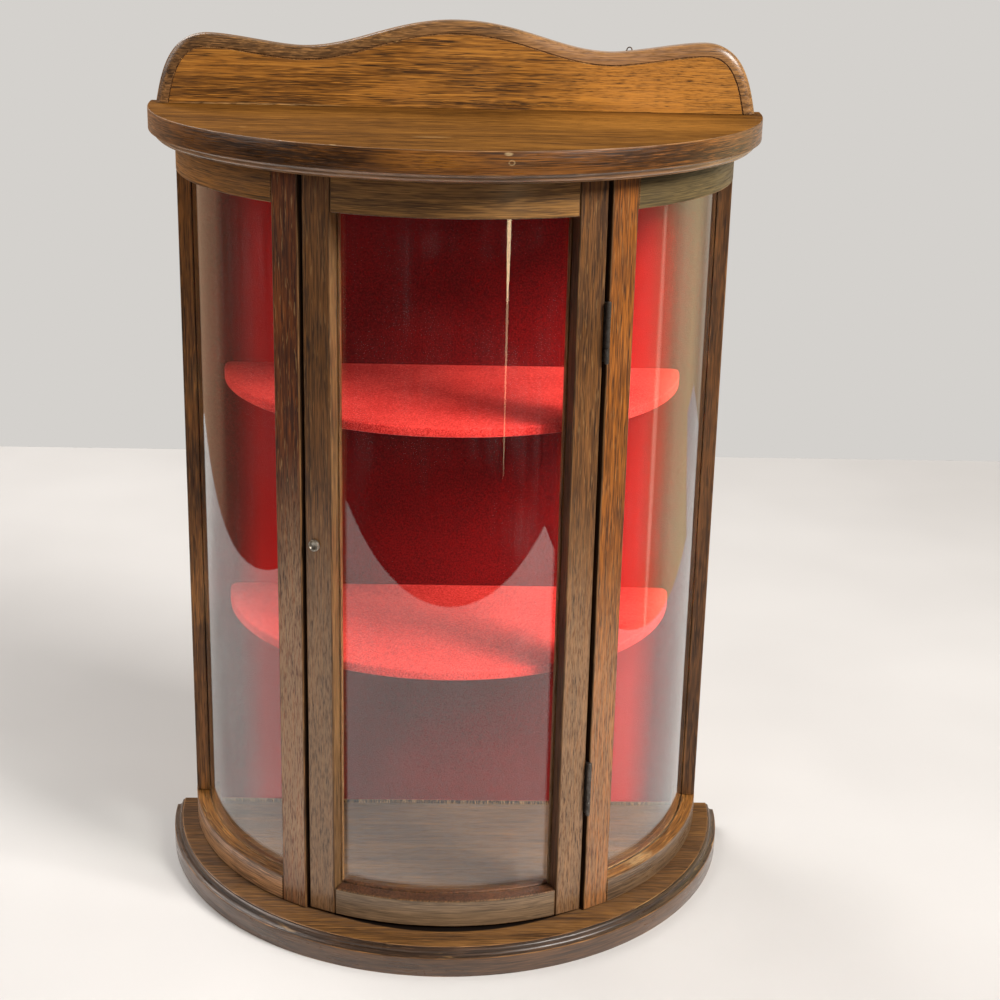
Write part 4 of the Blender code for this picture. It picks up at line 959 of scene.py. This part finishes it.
def make_front_post(side, sign):
    name = side + "_front_post"
    outline = [
        on_flat(CARCASS_RADIUS, POST_INNER_ANGLE, POST_ANGLE),
        on_flat(CARCASS_RADIUS, POST_OUTER_ANGLE, POST_ANGLE),
        polar(GROOVE_OUTER, POST_OUTER_ANGLE),
        polar(GROOVE_OUTER, GROOVE_ANGLE),
        polar(GROOVE_INNER, GROOVE_ANGLE),
        polar(GROOVE_INNER, POST_OUTER_ANGLE),
        on_flat(RAIL_INNER, POST_OUTER_ANGLE, POST_ANGLE),
        on_flat(RAIL_INNER, POST_INNER_ANGLE, POST_ANGLE),
    ]
    mesh = prism(mirrored(outline, sign), *heights(name))
    looks = woods(side + "_post_oak", "post_edge", "gap_oak")
    dress(name, mesh, looks, FRAME_EASE, {2: faces_gap(POST_INNER_ANGLE)})


def make_rear_post(side, sign):
    name = side + "_rear_post"
    outside = CARCASS_RADIUS - REAR_POST_INSET
    front = FRAME_BACK - REAR_POST_DEPTH
    outline = [
        (rear_x(GROOVE_OUTER, REAR_POST_DEPTH), front),
        (rear_x(outside, REAR_POST_DEPTH), front),
        (rear_x(outside, 0.0), FRAME_BACK),
        (rear_x(GROOVE_OUTER, 0.0), FRAME_BACK),
    ]
    mesh = prism(mirrored(outline, sign), *heights(name))
    looks = woods(side + "_rear_oak", "post_edge", "gap_oak")
    dress(name, mesh, looks, FRAME_EASE, {2: lambda middle, normal: sign * normal.x < -0.9})


def make_side(side, sign):
    """Rails, bent glass and posts on one side; sign is 1 on the right and -1 on the left."""
    make_side_rails(side, sign)
    start = GROOVE_ANGLE + SEAT_GAP / SIDE_GLASS_OUTER
    span = sorted((sign * start, sign * rear_angle(SIDE_GLASS_OUTER - GLASS_THICKNESS)))
    make_glass(side + "_side_glass", SIDE_GLASS_OUTER, *span)
    make_front_post(side, sign)
    make_rear_post(side, sign)


def shelf_outline(radius):
    """Half-round plan of a shelf with its back corners rounded, from the left end to the right end."""
    limit = acos((BACK_Y - FRAME_BACK) / radius)
    eased = limit - SHELF_CORNER / radius
    arc = [(radius * sin(t), BACK_Y - radius * cos(t)) for t in turns(-eased, eased)]
    x_end = radius * sin(limit)
    bend = []
    for i in range(1, 7):
        t = i / 6
        x = (1 - t) ** 2 * arc[-1][0] + 2 * t * (1 - t) * x_end + t**2 * (x_end - SHELF_CORNER)
        y = (1 - t) ** 2 * arc[-1][1] + (2 * t * (1 - t) + t**2) * FRAME_BACK
        bend.append((x, y))
    left = [(-x, y) for x, y in reversed(bend)]
    return left + arc + bend


def make_shelf_felt(level):
    """Felt over a shelf's top and its curved edge, rolled softly over the arris."""
    node = level + "_shelf_felt"
    low, high = heights(node)
    board_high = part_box(level + "_shelf_board")[1].z
    radius = BACK_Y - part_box(node)[0].y
    inside = high - board_high
    profile = [(inside, board_high + SEAT_GAP, 0), (inside, low, 0), (FELT_CUT, low, 1), (0.0, low + FELT_CUT, 1)]
    for turn in quarter_turns(5):
        profile.append((FELT_ROLL * (1 - cos(turn)), high - FELT_ROLL + FELT_ROLL * sin(turn), 0))
    mesh = half_round(shelf_outline(radius), FRAME_BACK, profile)
    piece = dress(node, mesh, [SHELF_FELT, FELT_EDGE])


def make_lining():
    """Felt glued on the back panel, with its cut edge showing pale along the floor."""
    low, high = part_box("back_lining")
    mesh = prism([(low.x, low.y), (high.x, low.y), (high.x, high.y), (low.x, high.y)], low.z, high.z)
    piece = dress("back_lining", mesh, [LINING_FELT, FELT_EDGE], SHEET_EASE, {1: faces_down})


def make_stile(side, sign):
    name = f"door_{side}_stile"
    outline = [
        on_flat(DOOR_RADIUS, STILE_INNER_ANGLE, STILE_ANGLE),
        on_flat(DOOR_RADIUS, DOOR_HALF_ANGLE, STILE_ANGLE),
        on_flat(DOOR_INNER, DOOR_HALF_ANGLE, STILE_ANGLE),
        on_flat(DOOR_INNER, REBATE_ANGLE, STILE_ANGLE),
        on_flat(DOOR_REBATE, REBATE_ANGLE, STILE_ANGLE),
        on_flat(DOOR_REBATE, STILE_INNER_ANGLE, STILE_ANGLE),
    ]
    mesh = prism(mirrored(outline, sign), *heights(name))
    looks = woods("door_oak", "door_edge", "gap_oak", "reveal_oak" if sign > 0 else "left_reveal_oak")
    inner_faces = {2: faces_gap(DOOR_HALF_ANGLE), 3: faces_gap(STILE_INNER_ANGLE)}
    dress(name, mesh, looks, FRAME_EASE, inner_faces)


def make_door_rails():
    low, high = heights("door_top_rail")
    step = low + REBATE_WIDTH
    profile = [
        (DOOR_REBATE, low), (DOOR_RADIUS, low), (DOOR_RADIUS, high),
        (DOOR_INNER, high), (DOOR_INNER, step), (DOOR_REBATE, step),
    ]
    mesh = swept(profile, -DOOR_RAIL_ANGLE, DOOR_RAIL_ANGLE)
    dress("door_top_rail", mesh, woods("door_rail_oak", "door_edge"), FRAME_EASE)
    low, high = heights("door_bottom_rail")
    step = high - REBATE_WIDTH
    profile = [
        (DOOR_INNER, low), (DOOR_RADIUS, low), (DOOR_RADIUS, high),
        (DOOR_REBATE, high), (DOOR_REBATE, step), (DOOR_INNER, step),
    ]
    mesh = swept(profile, -DOOR_RAIL_ANGLE, DOOR_RAIL_ANGLE)
    looks = woods("low_rail_oak", "door_edge", "reveal_oak")
    dress("door_bottom_rail", mesh, looks, FRAME_EASE, {2: faces_up})


def make_glass_beads():
    """Beads that hold the door's glass in its rebate."""
    edge = REBATE_ANGLE - SEAT_GAP / DOOR_INNER
    outline = [
        polar(DOOR_BEAD_FRONT, STILE_INNER_ANGLE),
        polar(DOOR_BEAD_FRONT, edge),
        on_flat(DOOR_INNER, edge, STILE_ANGLE),
        on_flat(DOOR_INNER, STILE_INNER_ANGLE, STILE_ANGLE),
    ]
    for side, sign in SIDES:
        name = f"door_{side}_glass_bead"
        mesh = prism(mirrored(outline, sign), *heights(name))
        dress(name, mesh, woods("door_oak", "door_edge"), SLIM_EASE)
    for where in ("top", "bottom"):
        name = f"door_{where}_glass_bead"
        low, high = heights(name)
        profile = [(DOOR_INNER, low), (DOOR_BEAD_FRONT, low), (DOOR_BEAD_FRONT, high), (DOOR_INNER, high)]
        mesh = swept(profile, -DOOR_RAIL_ANGLE, DOOR_RAIL_ANGLE)
        dress(name, mesh, woods("reveal_oak", "reveal_oak"), SLIM_EASE)


def make_door():
    """Stiles, curved rails, bent glass and the beads that hold it."""
    for side, sign in SIDES:
        make_stile(side, sign)
    make_door_rails()
    glass_angle = REBATE_ANGLE - GLASS_EDGE_GAP / DOOR_GLASS_OUTER
    make_glass("door_glass", DOOR_GLASS_OUTER, -glass_angle, glass_angle)
    make_glass_beads()


def turned(profile, matrix):
    """Points of a (radius, height) profile at each step of a full turn about the matrix's Z axis."""
    points = []
    for i in range(ROUND_SIDES):
        turn = 2 * pi * i / ROUND_SIDES
        points += [matrix @ Vector((r * cos(turn), r * sin(turn), z)) for r, z in profile]
    return points


def lathe(profile, matrix):
    """Round body about the matrix's Z axis, from (radius, height) points that start and end on the axis."""
    start, end = [matrix @ Vector((0.0, 0.0, profile[i][1])) for i in (0, -1)]
    inner = profile[1:-1]
    size = len(inner)
    points = [start, *turned(inner, matrix), end]
    last = len(points) - 1
    faces = strips(ROUND_SIDES, size, 1, closed=False, ring=True)
    for i in range(ROUND_SIDES):
        near = 1 + i * size
        far = 1 + (i + 1) % ROUND_SIDES * size
        faces += [(0, near, far), (near + size - 1, last, far + size - 1)]
    return mesh_of(points, faces)


def make_pull():
    """Round metal stud with a cupped head on the left stile."""
    low, high = heights("door_pull_stud")
    angle = DOOR_HALF_ANGLE - PULL_FROM_EDGE / DOOR_RADIUS
    x, y = on_flat(DOOR_RADIUS, angle, STILE_ANGLE)
    outward = Vector((-sin(STILE_ANGLE), -cos(STILE_ANGLE), 0.0))
    turn = outward.to_track_quat("Z", "Y").to_matrix().to_4x4()
    matrix = Matrix.Translation((-x, y, (low + high) / 2)) @ turn
    shank = [(0.0, -0.010), (PULL_SHANK, -0.0082), (PULL_SHANK, SEAT_GAP)]
    rim = [(PULL_RADIUS, SEAT_GAP), (PULL_RADIUS, 0.0012), (PULL_RADIUS - 0.0001, 0.0018),
           (PULL_RADIUS - 0.0005, PULL_HEIGHT), (PULL_CUP + 0.0005, PULL_HEIGHT)]
    cup = [(PULL_CUP + 0.0002, 0.0019), (PULL_CUP, 0.0013), (PULL_CUP - 0.0003, 0.0009), (0.5 * PULL_CUP, 0.0007),
           (0.0, 0.0007)]
    dress("door_pull_stud", lathe(shank + rim + cup, matrix), [SCREW_METAL])


def hinge_leaf(matrix, sign, knuckles, half):
    """Knuckle barrels round the axis, and the plate beside them with a tongue to each barrel; sign is 1 towards the
    post and -1 towards the door."""
    points, faces = [], []
    eased = KNUCKLE_RADIUS - KNUCKLE_EASE
    for low, high in knuckles:
        barrel = [(KNUCKLE_BORE, low), (eased, low), (KNUCKLE_RADIUS, low + KNUCKLE_EASE),
                  (KNUCKLE_RADIUS, high - KNUCKLE_EASE), (eased, high), (KNUCKLE_BORE, high)]
        faces += strips(ROUND_SIDES, len(barrel), len(points), ring=True)
        points += turned(barrel, matrix)
    near, far = sign * SEAT_GAP / 2, sign * (SEAT_GAP / 2 + LEAF_THICKNESS)
    plates = [(KNUCKLE_RADIUS + SEAT_GAP, LEAF_WIDTH, -half, half)]
    plates += [(TONGUE_START, TONGUE_END, low, high) for low, high in knuckles]
    for start, end, low, high in plates:
        faces += capped(2, 4, len(points))
        corners = [(near, start), (far, start), (far, end), (near, end)]
        points += [matrix @ Vector((x, y, z)) for z in (low, high) for x, y in corners]
    return mesh_of(points, faces)


def make_hinge(level):
    """Butt hinge: two short knuckles on the post leaf, one long knuckle on the door leaf."""
    post_leaf, door_leaf = level + "_hinge_post_leaf", level + "_hinge_door_leaf"
    low, high = heights(post_leaf)
    half = (high - low) / 2
    place = Matrix.Translation((HINGE_AXIS.x, HINGE_AXIS.y, (low + high) / 2))
    matrix = place @ Matrix.Rotation(HINGE_ANGLE, 4, "Z")
    outer = half / 2 + KNUCKLE_GAP / 2
    inner = half / 2 - KNUCKLE_GAP / 2
    mesh = hinge_leaf(matrix, 1, [(-half, -outer), (outer, half)], half)
    dress(post_leaf, mesh, [DARK_METAL])
    dress(door_leaf, hinge_leaf(matrix, -1, [(-inner, inner)], half), [DARK_METAL])


def wire_route():
    """Points of the hanging wire from its start on the left screw to its curled end."""
    reach = HANGER_SHANK + SEAT_GAP + WIRE_RADIUS
    first = CREST_BACK + SEAT_GAP + WIRE_RADIUS
    half = HANGER_SPACING / 2
    height = CREST_FOOT + HANGER_HEIGHT
    shares = [i / 24 for i in range(25)]
    wound = [WIRE_TURNS * (1 - s) for s in shares]
    winding = [(-pi / 2 - 2 * pi * turn, first + WIRE_PITCH * turn) for turn in wound]
    left = [(-half + reach * cos(a), depth, height + reach * sin(a)) for a, depth in winding]
    run = [(-half + 2 * half * s, first, height - reach - 4 * WIRE_SAG * s * (1 - s)) for s in shares[1:-1]]
    right = [(half - reach * cos(a), depth, height + reach * sin(a)) for a, depth in reversed(winding)]
    tail_x, depth, tail_low = right[-1]
    tail_high = CREST_FOOT + CREST_SADDLE + WIRE_TAIL_RISE
    tail_rise = tail_high - tail_low
    tail = [(tail_x + WIRE_TAIL_LEAN * s**3, depth, tail_low + tail_rise * s) for s in shares[2::2]]
    radius = WIRE_CURL_RADIUS
    curl_x = tail_x + WIRE_TAIL_LEAN + radius
    angles = [pi - WIRE_CURL_TURN * s for s in shares[1:]]
    curl = [(curl_x + radius * cos(a), depth, tail_high + radius * sin(a)) for a in angles]
    return [Vector(point) for point in left + run + right + tail + curl]


def make_wire():
    """Thin steel wire that the cabinet hangs by."""
    route = wire_route()
    curve = bpy.data.curves.new("hanging_wire_shown", "CURVE")
    curve.dimensions = "3D"
    curve.bevel_depth = WIRE_RADIUS
    curve.bevel_resolution = 3
    curve.use_fill_caps = True
    spline = curve.splines.new("POLY")
    spline.points.add(len(route) - 1)
    for point, place in zip(spline.points, route):
        point.co = (*place, 1.0)
    curve.materials.append(WIRE_METAL)
    wire = show("hanging_wire_shown", curve)
    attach(wire, body_of(frame["nodes"]["hanging_wire"])[0])
    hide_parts("hanging_wire")


def keep_nodes():
    """CAD nodes whose shape is right get their finish."""
    finishes = {
        "back_panel": OAK["back_plywood"],
        "door_catch": CATCH_PLASTIC,
        "catch_strike_plate": SCREW_METAL,
    }
    for name, node in frame["nodes"].items():
        material = finishes.get(name)
        if "shelf_board" in name:
            material = OAK["shelf_wood"]
        elif "hinge" in name:
            material = DARK_METAL
        elif "screw" in name:
            material = SCREW_METAL
        if material:
            for slot in node.material_slots:
                slot.material = material


def make_camera():
    data = bpy.data.cameras.new("photo_camera")
    data.sensor_width = SENSOR_WIDTH
    data.lens = SENSOR_WIDTH * FOCAL_PIXELS / PHOTO_SIZE
    data.clip_start = CLIP_START
    camera = show("photo_camera", data)
    turn = Matrix((CAMERA_RIGHT, CAMERA_UP, -CAMERA_FORWARD)).transposed().to_4x4()
    camera.matrix_world = Matrix.Translation(CAMERA_PLACE) @ turn
    bpy.context.scene.camera = camera


# Table top, with its edges where the glass mirrors them
FLOOR_OUTLINE = [(-0.79, -0.68), (0.64, -0.68), (0.64, 0.60), (1.1, 0.85), (1.1, 1.06), (-0.79, 1.06)]
FLOOR_COLORS = [(0.3, srgb(210, 207, 205)), (0.7, srgb(218, 215, 213))]


def make_floor():
    """Pale table top that the cabinet stands on."""
    points = [(x, y, 0.0) for x, y in FLOOR_OUTLINE]
    mesh = mesh_of(points, [tuple(range(len(points)))])
    nodes = Finish("pale_floor")
    nodes.set(Base_Color=nodes.ramp(nodes.noise(nodes.place(), 4.0, 2.0), FLOOR_COLORS))
    nodes.set(Roughness=0.6, Specular_IOR_Level=0.2)
    mesh.materials.append(nodes.material)
    mesh.name = "floor"
    show("floor", mesh)


# Studio: pale backdrop, dim light all round, and what gloss and glass mirror from the front to the back of each side
BACKDROP = srgb(212, 209, 205)
AMBIENT_COLOR = srgb(250, 248, 246)
AMBIENT_STRENGTH = 0.15
MIRRORED_FRONT, MIRRORED_BACK = -0.3, 1.0
DIM_FRONT = srgb(40, 38, 38)
MIRRORED_LEFT = [
    (0.0, DIM_FRONT), (0.23, srgb(76, 66, 60)), (0.60, srgb(110, 84, 68)), (0.67, srgb(162, 128, 102)),
    (1.0, srgb(180, 146, 118)),
]
MIRRORED_RIGHT = [
    (0.0, DIM_FRONT), (0.12, srgb(100, 92, 84)), (0.28, srgb(146, 132, 112)), (0.40, srgb(190, 170, 130)),
    (0.60, srgb(255, 238, 190)), (0.72, srgb(250, 230, 180)), (0.82, srgb(190, 168, 138)), (1.0, BACKDROP),
]


def make_world():
    """Even dim light all round and a pale backdrop; gloss and glass mirror warm sides and a dim front."""
    world = bpy.data.worlds.new("studio")
    bpy.context.scene.world = world
    nodes = Tree(world)
    direction = nodes.add("TexCoord", {}).outputs["Generated"]
    across, ahead = nodes.add("SeparateXYZ", {0: direction}).outputs[:2]
    on_left = nodes.math("LESS_THAN", across)
    turn = nodes.between(ahead, MIRRORED_FRONT, MIRRORED_BACK)
    mirrored_color = nodes.mix(on_left, nodes.ramp(turn, MIRRORED_RIGHT), nodes.ramp(turn, MIRRORED_LEFT))
    path = nodes.add("LightPath", {}).outputs
    gloss = nodes.math("MAXIMUM", path["Is Glossy Ray"], path["Is Transmission Ray"])
    seen = nodes.math("MAXIMUM", path["Is Camera Ray"], gloss)
    bounced = nodes.math("MINIMUM", path["Glossy Depth"], 1.0)
    seen_color = nodes.mix(bounced, BACKDROP, mirrored_color)
    backdrop = nodes.add("Background", {"Color": seen_color, "Strength": 1.0}).outputs[0]
    ambient = nodes.add("Background", {"Color": AMBIENT_COLOR, "Strength": AMBIENT_STRENGTH}).outputs[0]
    both = nodes.add("MixShader", {0: seen, 1: ambient, 2: backdrop}).outputs[0]
    nodes.put(nodes.tree.nodes["World Output"].inputs["Surface"], both)


AIM = Vector((0.0, 0.0, 0.28))
KEY_WHITE = (1.0, 0.97, 0.93)
FILL_WHITE = (1.0, 0.98, 0.95)
STREAK_WARM = (1.0, 0.72, 0.42)
STRIP_WARM = (1.0, 0.86, 0.66)
STREAK_PLACE = Vector((0.423, -0.985, 0.40))
STREAK_AIM = (0.033, -0.064, 0.36)
STRIP_PLACE = Vector((1.08, 0.19, 0.10))
STRIP_AIM = (0.13, -0.01, 0.30)


def around(azimuth, elevation, distance):
    """Place round the cabinet, with the azimuth counted from the front towards the right."""
    level = cos(radians(elevation))
    toward = Vector((sin(radians(azimuth)) * level, -cos(radians(azimuth)) * level, sin(radians(elevation))))
    return AIM + distance * toward


# Soft lamps, and narrow ones for the light lines in the glass: place, aim, width and height, watts, colour, shape
LAMPS = {
    "right_key": (around(55, 37, 3.0), AIM, (0.95, 0.95), 120.0, KEY_WHITE, "RECTANGLE"),
    "left_fill": (around(-85, 32, 2.2), AIM, (1.4, 1.2), 18.0, FILL_WHITE, "RECTANGLE"),
    "back_fill": (around(-140, 45, 2.2), AIM, (1.2, 1.0), 26.0, FILL_WHITE, "RECTANGLE"),
    "streak_head": (STREAK_PLACE, STREAK_AIM, (0.036, 0.36), 0.20, STREAK_WARM, "ELLIPSE"),
    "streak_tail": (STREAK_PLACE, STREAK_AIM, (0.018, 0.80), 0.08, STREAK_WARM, "ELLIPSE"),
    "side_strip": (STRIP_PLACE, STRIP_AIM, (0.05, 0.60), 0.05, STRIP_WARM, "ELLIPSE"),
}


def make_light():
    make_world()
    for name, (place, aim, size, watts, color, shape) in LAMPS.items():
        data = bpy.data.lights.new(name, "AREA")
        data.shape = shape
        data.size, data.size_y = size
        data.energy = watts
        data.color = color
        lamp = show(name, data)
        lamp.location = place
        lamp.rotation_euler = (Vector(aim) - place).to_track_quat("-Z", "Y").to_euler()
        lamp.visible_camera = False


def main():
    bpy.context.scene.view_settings.view_transform = "Standard"
    make_camera()
    make_wire()
    make_light()
    make_floor()
    make_boards()
    make_crest()
    for side, sign in SIDES:
        make_side(side, sign)
    make_lining()
    make_shelf_felt("upper")
    make_shelf_felt("lower")
    make_door()
    make_pull()
    make_hinge("upper")
    make_hinge("lower")
    keep_nodes()


main()
